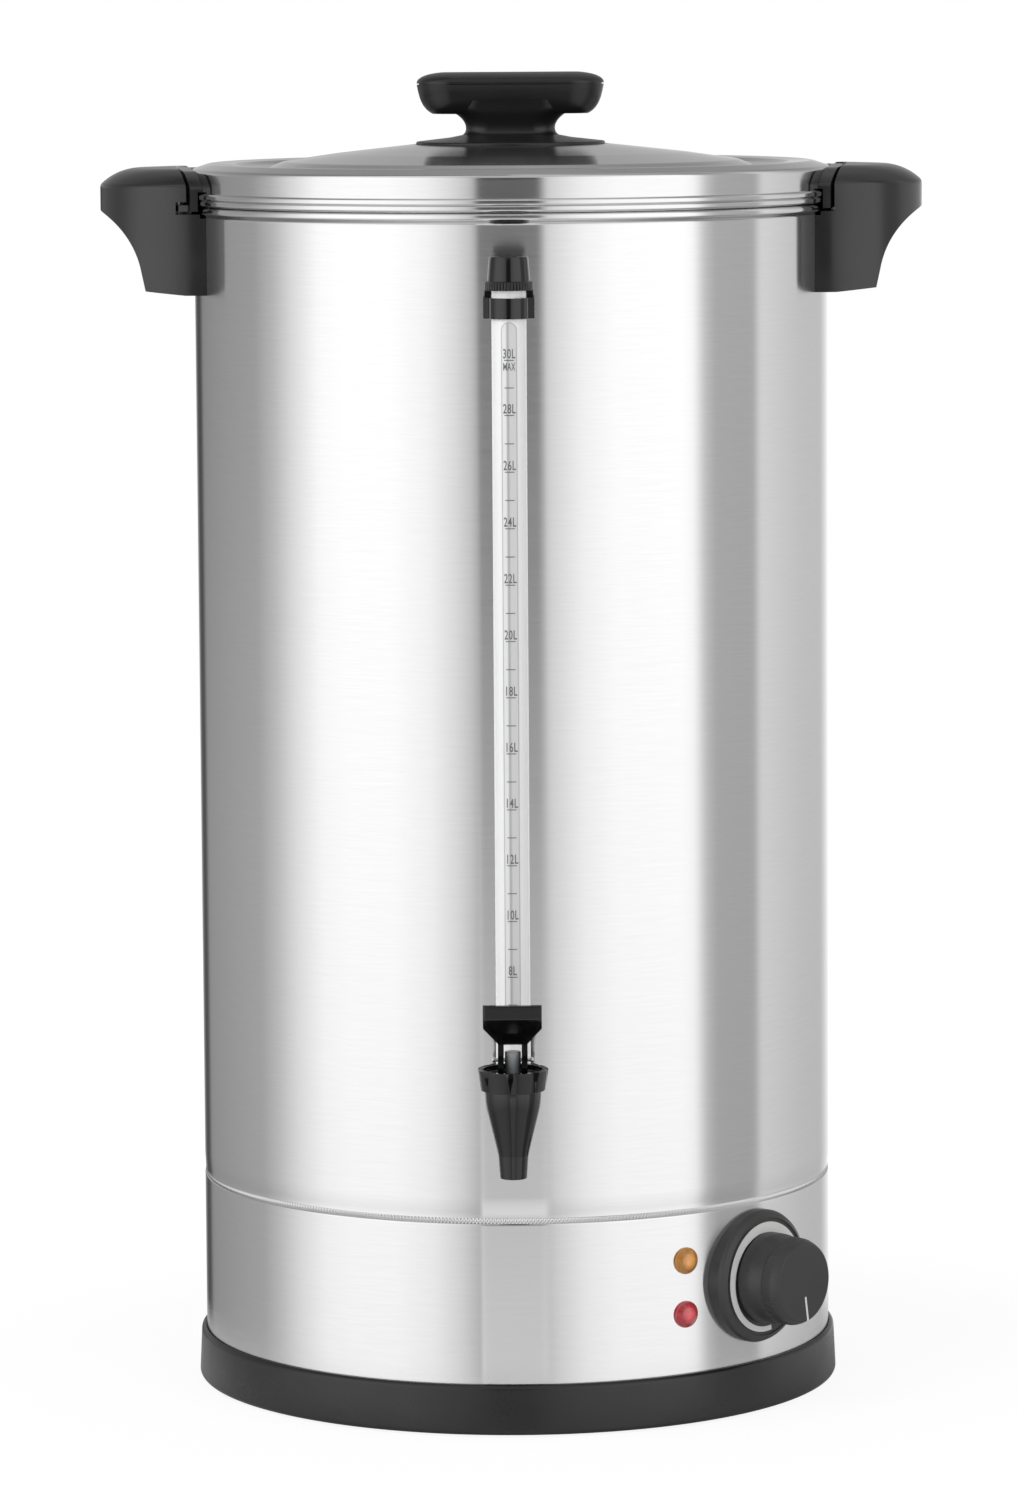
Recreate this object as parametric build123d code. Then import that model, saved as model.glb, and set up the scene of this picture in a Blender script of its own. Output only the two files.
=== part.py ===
from build123d import *

import os
from math import acos, asin, atan2, ceil, cos, degrees, pi, radians, sin, sqrt, tan

# Hot water urn of thirty litres. Millimetres, +Z up, the tap faces -Y, and the origin is
# on the body's axis at the surface that the urn stands on.

os.makedirs("parts", exist_ok=True)

# ---- Fits and clearances ----
seat_gap = 0.3            # between faces of two bodies that rest on each other
slide_gap = 0.1           # radial, a stem or button in its guide
shaft_gap = 0.05          # radial, a turning shaft or pin in its bore
fit_gap = 0.05            # a piece that is fixed in its seat
hole_gap = 0.15           # radial, a screw or stud in its hole

# ---- Body ----
body_radius = 156.0       # outside of the steel body
sheet = 0.8               # steel sheet of body and lid
rim_height = 584.0        # top of the rolled rim bead
bead_height = 4.4         # rolled bead of the rim
bead_reach = 2.4          # how far the bead stands out of the body
seam_height = 104.0       # middle of the welded seam
seam_band = 2.6           # height of the weld's ripple band
seam_sink = 0.4           # weld band below the sheet's surface
seam_draw = 0.3           # how far the wall is drawn in above the weld
floor_rise = 15.0         # tank floor above the seam
floor_corner = 8.0        # bend radius of the tank floor
floor_flange = 23.0       # how far the floor's flange hangs below the floor

# ---- Base ----
base_height = 24.6        # top of the black base ring
base_bulge = 3.8          # how far the ring's foot stands out of the body
base_draft = 1.2          # how much the ring narrows towards its top
skirt_ledge = 10.0        # height of the ledge that carries the steel skirt
base_rim = 15.0           # width of the ring's underside, inside the body radius
base_recess = 4.0         # depth of the recess that holds the base plate
base_flange = 3.0         # thickness of the ring's screw flange
flange_reach = 12.0       # how far that flange reaches inwards
plate_sheet = 1.2         # base plate thickness
pad_radius = 6.5          # rubber foot pads
pad_depth = 2.8
pad_count = 4

# ---- Handles and lid lugs ----
handle_reach = 50.2       # radius of the D-shaped plan
handle_rise = 19.4        # crown of the handle above the rim
handle_height = 62.2      # crown to lower edge
handle_rim_drop = 9.4     # crown to the edge of the domed top
channel_width = 9.0       # radial width of the lug channel, outside the body
pocket_depth = 4.7        # radial depth of the hook pocket beyond the channel
pocket_height = 6.1
channel_floor = 3.5       # channel floor below the rim
lug_skirt_gap = 0.4       # between the lug's leg and the lid's rolls
leg_width = 3.4           # radial thickness of the lug's leg
foot_reach = 5.2          # how far the hooked foot stands out of the leg
foot_height = 3.0
foot_length = 20.0        # along the rim
lug_step = 1.0            # lug's crown below the handle's
handle_screw_span = 43.0
handle_screw_radius = 2.4

# ---- Lid ----
lid_skirt_height = 17.4   # lid's shoulder above the rim
lid_skirt_step = 1.3      # lid skirt outside the body radius
lid_roll = 2.0            # how far the upper roll stands out of the skirt
lid_lip_depth = 7.3       # locating lip inside the tank mouth
lid_lip_gap = 1.0
lid_annulus = 20.3        # width of the crowned outer annulus
lid_dome_height = 28.0    # knob seat above the rim

# ---- Lid knob ----
grip_length = 92.0
knob_disc_radius = grip_length / 2 + 0.5
lid_seat_margin = 1.0     # how far the lid's flat seat reaches past the knob's disc
lid_seat_radius = knob_disc_radius + lid_seat_margin
knob_disc_height = 5.4
grip_depth = 36.0
grip_height = 14.6        # underside to the parting line
grip_lift = 15.7          # underside above the knob seat
cap_height = 5.7
parting = 0.35            # half the height of the groove between grip and cap
neck_length = 44.0
neck_depth = 24.0
knob_screw_radius = 2.5

# ---- Sight tube ----
tube_standoff = 16.0      # tube axis outside the body
tube_radius = 8.2
tube_wall = 1.6
tube_top = 28.0           # tube's upper end below the rim
collar_height = 9.7
collar_drop = 48.7        # collar's lower edge below the rim
collar_half_width = 12.0
tube_cap_height = 11.7
tube_cap_flange = 4.3
strip_width = 7.5
strip_sheet = 0.25
strip_top = 50.0          # strip's upper end below the rim
strip_start = 39.0        # strip's lower end above the tap's axis

# ---- Tap ----
tap_reach = 48.0          # tap axis outside the body
tap_height = 166.0        # axis of the shank
spout_drop = 32.0         # spout end below the shank axis
spout_radius = 6.35
spout_bore = 4.3
tap_neck = 8.25           # radius where the cone meets the spout
tap_barrel = 13.35        # radius of the barrel
crown_radius = 16.7
crown_height = 10.0
crown_grooves = 8
shank_radius = 8.0
flow_bore = 4.5
stem_radius = 3.7
pin_radius = 0.9
pin_length = 19.3
lever_width = 27.4
fork_width = 13.9
leg_thickness = 2.75
lever_reach = 24.0        # paddle's front edge in front of the pin
lever_rise = 29.1         # paddle's top edge above the pin
lever_turn = 60.0         # degrees of lever travel
stem_lift = 4.0           # stem travel over that turn

# ---- Controls ----
dial_azimuth = 48.5       # degrees from the tap towards +X
bezel_radius = 32.4
bezel_depth = 5.9         # bezel face outside the body
scale_radius = 26.9
dial_knob_radius = 22.0
dial_knob_front = 30.0    # knob face outside the body
dial_shaft_radius = 3.0
pointer_angle = 9.0       # pointer from six o'clock towards the right
lamp_azimuth = 31.7
lamp_pitch = 26.2
lens_radius = 6.5

# ---- Back ----
gland_height = 45.0
gland_bore = 3.7
gland_radius = 8.0
earth_azimuth = 155.0
earth_height = 36.0

# ---- Values that follow from those above ----
body_inner = body_radius - sheet
floor_height = seam_height + floor_rise
floor_under = floor_height - sheet
flange_radius = body_inner - fit_gap
base_inner = body_radius - base_rim
dial_height = (base_height + seam_height) / 2 + 2.6
lid_bottom = rim_height + seat_gap
lid_shoulder = rim_height + lid_skirt_height
lid_seat = rim_height + lid_dome_height
skirt_radius = body_radius + lid_skirt_step
roll_radius = skirt_radius + lid_roll
leg_inner = roll_radius + lug_skirt_gap
leg_outer = leg_inner + leg_width
foot_outer = leg_outer + foot_reach
channel_outer = body_radius + channel_width
pocket_outer = channel_outer + pocket_depth
channel_bottom = rim_height - channel_floor
bead_bottom = rim_height - bead_height
bead_outer = body_radius + bead_reach
tube_axis = body_radius + tube_standoff
tap_axis = body_radius + tap_reach


def write(name, *solids):
    """Write one node; several solids become one group."""
    shape = solids[0] if len(solids) == 1 else Compound(children=list(solids))
    export_step(shape, f"parts/{name}.step")


def outline(*corners):
    """Closed face from corners (x, y) or (x, y, radius); a corner with a radius is rounded."""
    ends = []
    for i, corner in enumerate(corners):
        here = Vector(corner[0], corner[1])
        radius = corner[2] if len(corner) > 2 else 0
        if radius <= 0:
            ends.append((here, None, here))
            continue
        before = (Vector(*corners[i - 1][:2]) - here).normalized()
        after = (Vector(*corners[(i + 1) % len(corners)][:2]) - here).normalized()
        half = radians(before.get_angle(after)) / 2
        inwards = (before + after).normalized()
        reach = radius / tan(half)
        middle = here + inwards * (radius / sin(half) - radius)
        ends.append((here + before * reach, middle, here + after * reach))
    edges = []
    for i, (start, middle, end) in enumerate(ends):
        if middle is not None:
            edges.append(ThreePointArc(start, middle, end))
        following = ends[(i + 1) % len(ends)][0]
        if (following - end).length > 1e-6:
            edges.append(Line(end, following))
    return make_face(edges)


def sheet_outline(thickness, *corners):
    """Closed face of bent sheet: corners (x, y, radius) on its right face, the sheet to the left."""
    points = [Vector(c[0], c[1]) for c in corners]
    ways = [(b - a).normalized() for a, b in zip(points, points[1:])]
    normals = [Vector(-way.Y, way.X) for way in ways]
    back = []
    for i, (x, y, radius) in enumerate(corners):
        first = normals[max(i - 1, 0)]
        second = normals[min(i, len(normals) - 1)]
        shift = (first + second) / (1 + first.dot(second)) * thickness
        turn = first.X * second.Y - first.Y * second.X
        other = radius - thickness if turn > 0 else radius + thickness
        back.append((x + shift.X, y + shift.Y, max(other, 0) if radius > 0 else 0))
    return outline(*corners, *reversed(back))


def turned(*corners):
    """Solid turned about Z from an outline of (radius, height, rounding) corners."""
    return revolve(Plane.XZ * outline(*corners), Axis.Z)


def tube(outer, inner, bottom, top):
    """Straight tube about Z."""
    return turned((inner, bottom), (outer, bottom), (outer, top), (inner, top))


def rod(radius, bottom, top):
    """Straight rod about Z."""
    return Pos(0, 0, bottom) * extrude(Circle(radius), top - bottom)


def hexagon(across, bottom, top):
    """Hexagonal prism about Z."""
    return Pos(0, 0, bottom) * extrude(RegularPolygon(across / sqrt(3), 6), top - bottom)


def outwards(azimuth, height):
    """Plane on the body's axis whose z points out at an azimuth from the tap, y up, x to the right."""
    turn = radians(azimuth)
    return Plane((0, 0, height), x_dir=(cos(turn), sin(turn), 0), z_dir=(sin(turn), -cos(turn), 0))


def upright(azimuth, radius, height=0.0):
    """Place on a circle about the body's axis."""
    turn = radians(azimuth)
    return Pos(radius * sin(turn), -radius * cos(turn), height)


def around(shape, turn):
    """Shape turned about the body's axis."""
    return Rot(0, 0, turn) * shape


def half_turn(shape):
    """The same shape on the other side of the body."""
    return around(shape, 180)


def body_bore():
    """Everything inside the steel body's outer face, for pieces that lie against it."""
    return rod(body_radius + fit_gap, -50, rim_height + 100)


def spring(radius, wire, bottom, top, coils):
    """Compression spring about Z."""
    height = top - bottom - 2 * wire
    path = Helix(pitch=height / coils, height=height, radius=radius)
    section = Plane(path @ 0, z_dir=path % 0) * Circle(wire)
    return Pos(0, 0, bottom + wire) * sweep(section, path=path, is_frenet=True)


def wire_run(radius, bend, *points):
    """Round wire or thin tube along straight runs joined by arcs."""
    path = FilletPolyline(*points, radius=bend)
    return sweep(Plane(path @ 0, z_dir=path % 0) * Circle(radius), path=path)


# ---- Handles ----
handle_top = rim_height + handle_rise
handle_centre = sqrt(body_radius**2 - (handle_reach - 15.5) ** 2)
handle_edge = handle_top - handle_rim_drop
handle_bottom = handle_top - handle_height
handle_nose = handle_centre + handle_reach
channel_middle = (handle_edge + channel_bottom) / 2


def handle_dome(drop=0.0):
    """Upright D-plan column with the domed and bevelled top that handle and lug share."""
    crown = handle_top - drop
    edge = handle_edge - drop
    crease = handle_reach - 17
    side = make_face(
        [
            Line((0, handle_bottom - 1), (0, crown)),
            Line((0, crown), (crease, crown - 1.2)),
            ThreePointArc(
                (crease, crown - 1.2),
                (handle_reach - 6.3, crown - 4.6),
                (handle_reach - 1.0, edge + 1.0),
            ),
            ThreePointArc(
                (handle_reach - 1.0, edge + 1.0),
                (handle_reach - 0.25, edge - 0.1),
                (handle_reach, edge - 1.4),
            ),
            Line((handle_reach, edge - 1.4), (handle_reach, handle_bottom - 1)),
            Line((handle_reach, handle_bottom - 1), (0, handle_bottom - 1)),
        ]
    )
    return Pos(handle_centre, 0, 0) * revolve(Plane.XZ * side, Axis.Z)


def handle_side():
    """Side view of the handle with the arched finger grip under its nose."""
    grip_bottom = handle_nose - 24.4
    return make_face(
        [
            Line((handle_centre - 20, handle_bottom), (handle_centre + 6, handle_bottom)),
            Line((handle_centre + 6, handle_bottom), (grip_bottom, handle_bottom + 1.9)),
            Line((grip_bottom, handle_bottom + 1.9), (handle_nose - 21.8, handle_bottom + 13.6)),
            ThreePointArc(
                (handle_nose - 21.8, handle_bottom + 13.6),
                (handle_nose - 12.6, handle_bottom + 31.0),
                (handle_nose - 0.4, handle_bottom + 40.4),
            ),
            Line((handle_nose - 0.4, handle_bottom + 40.4), (handle_nose + 5, handle_bottom + 41.5)),
            Line((handle_nose + 5, handle_bottom + 41.5), (handle_nose + 5, handle_top + 5)),
            Line((handle_nose + 5, handle_top + 5), (handle_centre - 20, handle_top + 5)),
            Line((handle_centre - 20, handle_top + 5), (handle_centre - 20, handle_bottom)),
        ]
    )


# Half angles, seen from the body's axis, of the handle's ends, the lug's ends and the foot.
lug_middle = (leg_inner + leg_outer) / 2
lug_end = degrees(asin(min(0.9, handle_reach / lug_middle)))
foot_angle = degrees(foot_length / lug_middle)
handle_screw_angle = degrees(handle_screw_span / 2 / body_radius)
handle_screw_height = handle_bottom + 20.0
handle_screw_depth = 14.0
screw_head = 2.6
screw_head_radius = 4.4
washer_radius = 6.0
washer_sheet = 2.0


def sector(inner, outer, bottom, top, start, end):
    """Part of a ring between two azimuths."""
    arc = revolve(
        Plane.XZ * outline((inner, bottom), (outer, bottom), (outer, top), (inner, top)),
        Axis.Z,
        end - start,
    )
    return around(arc, start - 90)


def handle():
    """Handle on the +X side: solid grip with the lug channel and the hook pocket."""
    grip = extrude(Plane.XZ * handle_side(), handle_reach + 5, both=True)
    shape = handle_dome() & grip
    shape -= body_bore()
    shape -= tube(bead_outer + seat_gap, body_radius - 5, bead_bottom - 1.0, handle_top)
    shape -= tube(channel_outer, body_radius - 5, channel_bottom, handle_top + 10)
    stop = 90 + lug_end - foot_angle - 0.6
    shape -= sector(
        channel_outer - 1, pocket_outer, channel_bottom, channel_bottom + pocket_height, stop, 130
    )
    for side in (-1, 1):
        hole = rod(handle_screw_radius + fit_gap, body_radius - 5, body_radius + handle_screw_depth + 1)
        shape -= outwards(90 + side * handle_screw_angle, handle_screw_height) * hole
    return shape


def handle_screws(azimuth):
    """Two pan-head screws from inside the tank."""
    head_back = body_inner - washer_sheet - screw_head
    wide = screw_head_radius
    head = turned(
        (0, head_back), (0.8 * wide, head_back), (wide, head_back + 0.35 * screw_head),
        (wide, head_back + screw_head), (0, head_back + screw_head),
    )
    screw = head + rod(handle_screw_radius, head_back + 1, body_radius + handle_screw_depth)
    return [
        outwards(azimuth + side * handle_screw_angle, handle_screw_height) * screw
        for side in (-1, 1)
    ]


def handle_washers(azimuth):
    """Sealing washers between screw heads and tank wall, shaped to the wall."""
    washers = []
    for side in (-1, 1):
        ring = tube(washer_radius, handle_screw_radius + fit_gap, body_inner - washer_sheet, body_radius)
        ring = outwards(azimuth + side * handle_screw_angle, handle_screw_height) * ring
        washers.append(ring & rod(body_inner - fit_gap, 0, rim_height))
    return washers


# ---- Lid ----
lug_rivet_radius = 1.6
lug_rivet_angle = lug_end * 0.55
lug_rivet_height = (lid_bottom + lid_shoulder) / 2 + 3.2


def lid_shell():
    """Pressed lid: locating lip, two rolls, skirt, crowned annulus, valley and dome."""
    dome_top = lid_seat + 0.8
    annulus_lip = skirt_radius - lid_annulus
    valley = annulus_lip - 12.0
    dome_start = valley - 13.0
    lip_radius = body_inner - lid_lip_gap
    pressed = sheet_outline(
        sheet,
        (skirt_radius, lid_bottom + 5.0, 0),
        (skirt_radius, lid_shoulder, 2.2),
        (skirt_radius - 9.0, lid_shoulder + 2.9, 8.0),
        (annulus_lip, lid_shoulder + 2.3, 1.2),
        (annulus_lip - 3.2, lid_shoulder + 0.7, 3.0),
        (valley, lid_shoulder - 1.6, 6.0),
        (dome_start, lid_shoulder + 3.5, 6.0),
        (0.6 * dome_start + 0.4 * lid_seat_radius, lid_shoulder + 7.2, 30.0),
        (lid_seat_radius + 0.8, dome_top, 0.4),
        (lid_seat_radius, lid_seat, 0.4),
        (0, lid_seat, 0),
    )
    rolls = outline(
        (lip_radius - sheet, lid_bottom - lid_lip_depth),
        (lip_radius, lid_bottom - lid_lip_depth, 0.3),
        (lip_radius, lid_bottom),
        (roll_radius - 0.3, lid_bottom, 1.0),
        (roll_radius - 0.3, lid_bottom + 2.5, 0.8),
        (roll_radius - 0.8, lid_bottom + 3.0),
        (roll_radius, lid_bottom + 3.4, 0.8),
        (roll_radius, lid_bottom + 6.0, 1.2),
        (skirt_radius, lid_bottom + 6.4),
        (skirt_radius - sheet, lid_bottom + 6.4),
        (skirt_radius - sheet, lid_bottom + 1.6),
        (lip_radius - sheet, lid_bottom + 0.8),
    )
    shape = revolve(Plane.XZ * (pressed + rolls), Axis.Z)
    shape -= rod(knob_screw_radius + hole_gap, lid_seat - 10, lid_seat + 10)
    for middle in (-90, 90):
        for side in (-1, 1):
            hole = rod(lug_rivet_radius + fit_gap, skirt_radius - 5, skirt_radius + 5)
            shape -= outwards(middle + side * lug_rivet_angle, lug_rivet_height) * hole
    return shape


def lid_lug():
    """Lug of the +X side; its hooked foot lies at the back end."""
    block = handle_dome(lug_step) & tube(
        leg_outer, skirt_radius + fit_gap, lid_bottom + 7.0, handle_top
    )
    column = handle_dome(lug_step) & tube(
        leg_outer, leg_inner, channel_bottom + 1.5, lid_bottom + 7.0
    )
    foot_bottom = channel_bottom + 1.5
    foot = sector(
        leg_outer - 0.5, foot_outer, foot_bottom, foot_bottom + foot_height,
        90 + lug_end - foot_angle, 90 + lug_end - 1.2,
    )
    shape = block + column + foot
    for side in (-1, 1):
        hole = rod(lug_rivet_radius + fit_gap, skirt_radius - 1, skirt_radius + 3.5)
        shape -= outwards(90 + side * lug_rivet_angle, lug_rivet_height) * hole
    return shape


def lug_rivets():
    """Four rivets that hold the lugs to the lid's skirt, heads inside."""
    inner = skirt_radius - sheet
    rivet = turned(
        (0, inner - 1.3), (1.6, inner - 1.3, 0.4), (3.0, inner - 0.5), (3.0, inner),
        (lug_rivet_radius, inner), (lug_rivet_radius, skirt_radius + 3.3), (0, skirt_radius + 3.3),
    )
    flat_back = rod(skirt_radius - sheet - fit_gap, 0, rim_height + 50)
    rivets = []
    for middle in (-90, 90):
        for side in (-1, 1):
            place = outwards(middle + side * lug_rivet_angle, lug_rivet_height)
            head = (place * rivet) & flat_back
            shank = place * rod(lug_rivet_radius, inner - 0.8, skirt_radius + 3.3)
            rivets.append(head + shank)
    return rivets


# ---- Lid knob ----
grip_bottom = lid_seat + grip_lift
grip_top = grip_bottom + grip_height
disc_top = lid_seat + knob_disc_height


def rounded_plan(length, depth, height):
    """Rounded oblong at a height."""
    corner = 0.48 * min(length, depth)
    return Pos(0, 0, height) * RectangleRounded(length, depth, corner)


def knob_disc():
    """Thin domed disc between lid and grip."""
    neck = neck_length / 2
    shape = turned(
        (0, lid_seat),
        (knob_disc_radius, lid_seat, 0.9),
        (knob_disc_radius, lid_seat + 2.1, 0.9),
        (neck + 8.0, disc_top - 1.4, 30.0),
        (neck + 1.0, disc_top, 6.0),
        (0, disc_top),
    )
    return shape - rod(knob_screw_radius + hole_gap, lid_seat - 1, disc_top + 1)


def knob_grip():
    """Grip bar on a rounded neck that flares into its underside."""
    bar = loft(
        [
            rounded_plan(grip_length - 15.5, grip_depth - 12.0, grip_bottom),
            rounded_plan(grip_length - 7.6, grip_depth - 6.6, grip_bottom + 0.22 * grip_height),
            rounded_plan(grip_length - 2.2, grip_depth - 2.0, grip_bottom + 0.62 * grip_height),
            rounded_plan(grip_length, grip_depth, grip_top - parting),
        ]
    )
    bar += extrude(rounded_plan(grip_length - 2, grip_depth - 2, grip_top - parting), parting)
    flare = grip_bottom - disc_top
    sections = [
        (disc_top, 3.0, 3.0),
        (disc_top + 0.22 * flare, 0.0, 0.0),
        (disc_top + 0.55 * flare, 1.0, 1.0),
        (grip_bottom, 10.0, 5.2),
        (grip_bottom + 0.46 * grip_height, 18.0, 9.2),
    ]
    neck = loft(
        [
            rounded_plan(neck_length + longer, neck_depth + deeper, height)
            for height, longer, deeper in sections
        ]
    )
    shape = bar + neck
    shape -= rod(knob_screw_radius + fit_gap, disc_top - 1, grip_bottom + 3)
    for side in (-1, 1):
        shape -= Pos(side * grip_length / 3, 0, 0) * rod(2.0 + fit_gap, grip_top - 6, grip_top + 1)
    return shape


def knob_cap():
    """Cover of the grip, rounded from its parting groove up to a flat top, with two pegs."""
    profile = [(0.05, 0.0), (0.26, 0.2), (0.52, 1.6), (0.77, 4.7), (0.91, 8.2), (1.0, 13.2)]
    cap = loft(
        [
            rounded_plan(grip_length - 2 * inset, grip_depth - 2 * inset, grip_top + share * cap_height)
            for share, inset in profile
        ]
    )
    cap += extrude(rounded_plan(grip_length - 2, grip_depth - 2, grip_top), parting)
    for side in (-1, 1):
        cap += Pos(side * grip_length / 3, 0, 0) * rod(2.0, grip_top - 5, grip_top + 1)
    return cap


def knob_screw():
    """Screw and washer from under the lid into the grip."""
    under = lid_seat - sheet
    washer = tube(9.0, knob_screw_radius + hole_gap, under - 1.2, under)
    screw = turned(
        (0, under - 4.4), (4.0, under - 4.4, 0.8), (4.6, under - 1.2), (knob_screw_radius, under - 1.2),
        (knob_screw_radius, grip_bottom + 2.5), (0, grip_bottom + 2.5),
    )
    return screw, washer


# ---- Body ----
shank_hole = shank_radius + hole_gap
collar_screw_radius = 1.9
collar_middle = rim_height - collar_drop + collar_height / 2


def tank_wall():
    """Tank wall from the weld seam to the rolled rim, with its holes."""
    bottom = seam_height + seam_band / 2
    shape = turned(
        (body_inner, bottom), (body_radius - seam_draw, bottom),
        (body_radius - seam_draw, bottom + 1.2, 40.0), (body_radius, bottom + 6.5, 100.0),
        (body_radius, bead_bottom - 0.4, 1.5), (bead_outer, bead_bottom + 0.9, 1.5),
        (bead_outer, rim_height, 1.7), (body_inner, rim_height, 1.2),
    )
    shape -= outwards(0, tap_height) * rod(shank_hole, body_inner - 5, body_radius + 5)
    collar_hole = rod(collar_screw_radius + hole_gap, body_inner - 5, body_radius + 5)
    shape -= outwards(0, collar_middle) * collar_hole
    for middle in (-90, 90):
        for side in (-1, 1):
            hole = rod(handle_screw_radius + hole_gap, body_inner - 5, body_radius + 5)
            shape -= outwards(middle + side * handle_screw_angle, handle_screw_height) * hole
    return shape


def seam_ring():
    """Weld bead between tank wall and base skirt."""
    low = seam_height - seam_band / 2
    high = seam_height + seam_band / 2
    outer = body_radius - seam_sink
    return turned((body_inner, low), (outer, low, 0.15), (outer, high, 0.15), (body_inner, high))


stud_radius = 4.0
stud_length = 23.0


def tank_floor():
    """Floor pan with its hanging flange and the stud for the heater."""
    pan = revolve(
        Plane.XZ
        * sheet_outline(
            sheet,
            (flange_radius, floor_height - floor_flange, 0),
            (flange_radius, floor_height, floor_corner),
            (0, floor_height, 0),
        ),
        Axis.Z,
    )
    return pan + rod(stud_radius, floor_under - stud_length, floor_under + sheet / 2)


# ---- Heater ----
spreader_sheet = 4.0
spreader_under = floor_under - spreader_sheet
heater_ring = 72.0
heater_tube = 4.1
heater_groove = 1.8
heater_gap = 26.0         # half the open angle of the heating ring
heater_axis = spreader_under + heater_groove - heater_tube
heater_bend = 8.0
heater_leg = 22.0
heater_pin = 10.0
heater_pin_radius = 2.0
bulb_radius = 3.0
bulb_length = 60.0
bulb_circle = base_inner - 23.0
bulb_room = 18.0          # from the spreader's edge to the bulb's circle
spreader_radius = bulb_circle - bulb_room


def heater_spreader():
    """Aluminium disc under the tank floor, grooved for the heating tube."""
    disc = rod(spreader_radius, spreader_under, floor_under)
    disc -= rod(stud_radius + hole_gap, spreader_under - 1, floor_under + 1)
    groove = revolve(
        Plane.XZ * (Pos(heater_ring, heater_axis) * Circle(heater_tube + 2 * fit_gap)), Axis.Z
    )
    return disc - groove


def heating_element():
    """Tubular ring with two cold ends that bend down to their pins."""
    low = heater_axis - heater_leg
    level = heater_axis - heater_bend
    reach = heater_bend / sqrt(2)

    def end(side, along, height):
        """Point near one end of the ring, moved along the ring's tangent."""
        turn = radians(side * heater_gap)
        x = side * heater_ring * sin(abs(turn)) - side * along * cos(turn)
        y = heater_ring * cos(turn) + along * sin(abs(turn))
        return Vector(x, y, height)

    path = Wire(
        [
            Line(end(1, heater_bend, low), end(1, heater_bend, level)),
            ThreePointArc(end(1, heater_bend, level), end(1, reach, level + reach), end(1, 0, heater_axis)),
            ThreePointArc(end(1, 0, heater_axis), (0, -heater_ring, heater_axis), end(-1, 0, heater_axis)),
            ThreePointArc(
                end(-1, 0, heater_axis), end(-1, reach, level + reach), end(-1, heater_bend, level)
            ),
            Line(end(-1, heater_bend, level), end(-1, heater_bend, low)),
        ]
    )
    shape = sweep(Plane(path @ 0, z_dir=path % 0) * Circle(heater_tube), path=path)
    for side in (-1, 1):
        place = end(side, heater_bend, 0)
        shape += Pos(place.X, place.Y, 0) * rod(heater_pin_radius, low - heater_pin, low + 1)
    return shape


def heater_nut():
    """Washer and nut that clamp the spreader to the floor."""
    washer = tube(11.0, stud_radius + hole_gap, spreader_under - 1.6, spreader_under)
    nut = hexagon(13.0, spreader_under - 8.1, spreader_under - 1.6)
    nut -= rod(stud_radius + fit_gap, spreader_under - 9, spreader_under)
    return nut, washer


# ---- Base ----
ring_foot = body_radius + base_bulge
ring_head = ring_foot - base_draft
groove_width = 0.8
pad_circle = (base_inner + ring_foot) / 2 - 1.0
plate_radius = base_inner - 0.6
plate_under = base_recess - plate_sheet
screw_circle = base_inner - flange_reach / 2
base_screw_radius = 1.7
boss_radius = 4.2
boss_height = 8.0


def base_ring():
    """Plastic ring with the skirt's ledge, the screw flange and its bosses."""
    inner_wall = body_inner - 4.2
    flange_top = base_recess + base_flange
    shape = turned(
        (base_inner - flange_reach, base_recess),
        (base_inner, base_recess),
        (base_inner, 0),
        (ring_foot, 0, 2.0),
        (ring_head, base_height, 2.2),
        (body_radius + fit_gap + groove_width, base_height, 0.4),
        (body_radius + fit_gap + groove_width, base_height - 1.4),
        (body_radius + fit_gap, base_height - 1.4),
        (body_radius + fit_gap, skirt_ledge),
        (inner_wall, skirt_ledge),
        (inner_wall, flange_top),
        (base_inner - flange_reach, flange_top),
    )
    for i in range(pad_count):
        azimuth = 45 + 360 * i / pad_count
        shape += upright(azimuth, screw_circle) * rod(boss_radius, flange_top - 1, flange_top + boss_height)
        pilot = rod(base_screw_radius + fit_gap, base_recess - 1, flange_top + boss_height - 1)
        shape -= upright(azimuth, screw_circle) * pilot
        shape -= upright(azimuth, pad_circle) * rod(pad_radius + fit_gap, -1, pad_depth)
    return shape


def foot_pads():
    """Rubber pads let into the ring's underside."""
    return [
        upright(45 + 360 * i / pad_count, pad_circle) * rod(pad_radius, 0, pad_depth)
        for i in range(pad_count)
    ]


def base_plate():
    """Steel plate that closes the base, with vent slots and the reset hole."""
    plate = rod(plate_radius, plate_under, base_recess)
    for i in range(pad_count):
        hole = rod(base_screw_radius + hole_gap, 0, base_recess + 1)
        plate -= upright(45 + 360 * i / pad_count, screw_circle) * hole
    plate -= Pos(*cutout_place) * rod(reset_radius + 2 * hole_gap, 0, base_recess + 1)
    slot = extrude(SlotOverall(36, 5), base_recess + 1)
    for row in range(5):
        plate -= Pos(plate_radius / 3, 12 * row - plate_radius / 3, 0) * slot
    return plate


def base_screws():
    """Screws that hold the base plate."""
    head_under = plate_under - 1.9
    screw = turned(
        (0, head_under), (2.6, head_under), (3.4, head_under + 0.7), (3.4, plate_under),
        (base_screw_radius, plate_under), (base_screw_radius, base_recess + base_flange + 6),
        (0, base_recess + base_flange + 6),
    )
    return [upright(45 + 360 * i / pad_count, screw_circle) * screw for i in range(pad_count)]


bush_radius = 4.9
lamp_body_radius = 4.0
lamp_heights = [dial_height + side * lamp_pitch / 2 for side in (1, -1)]


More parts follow.
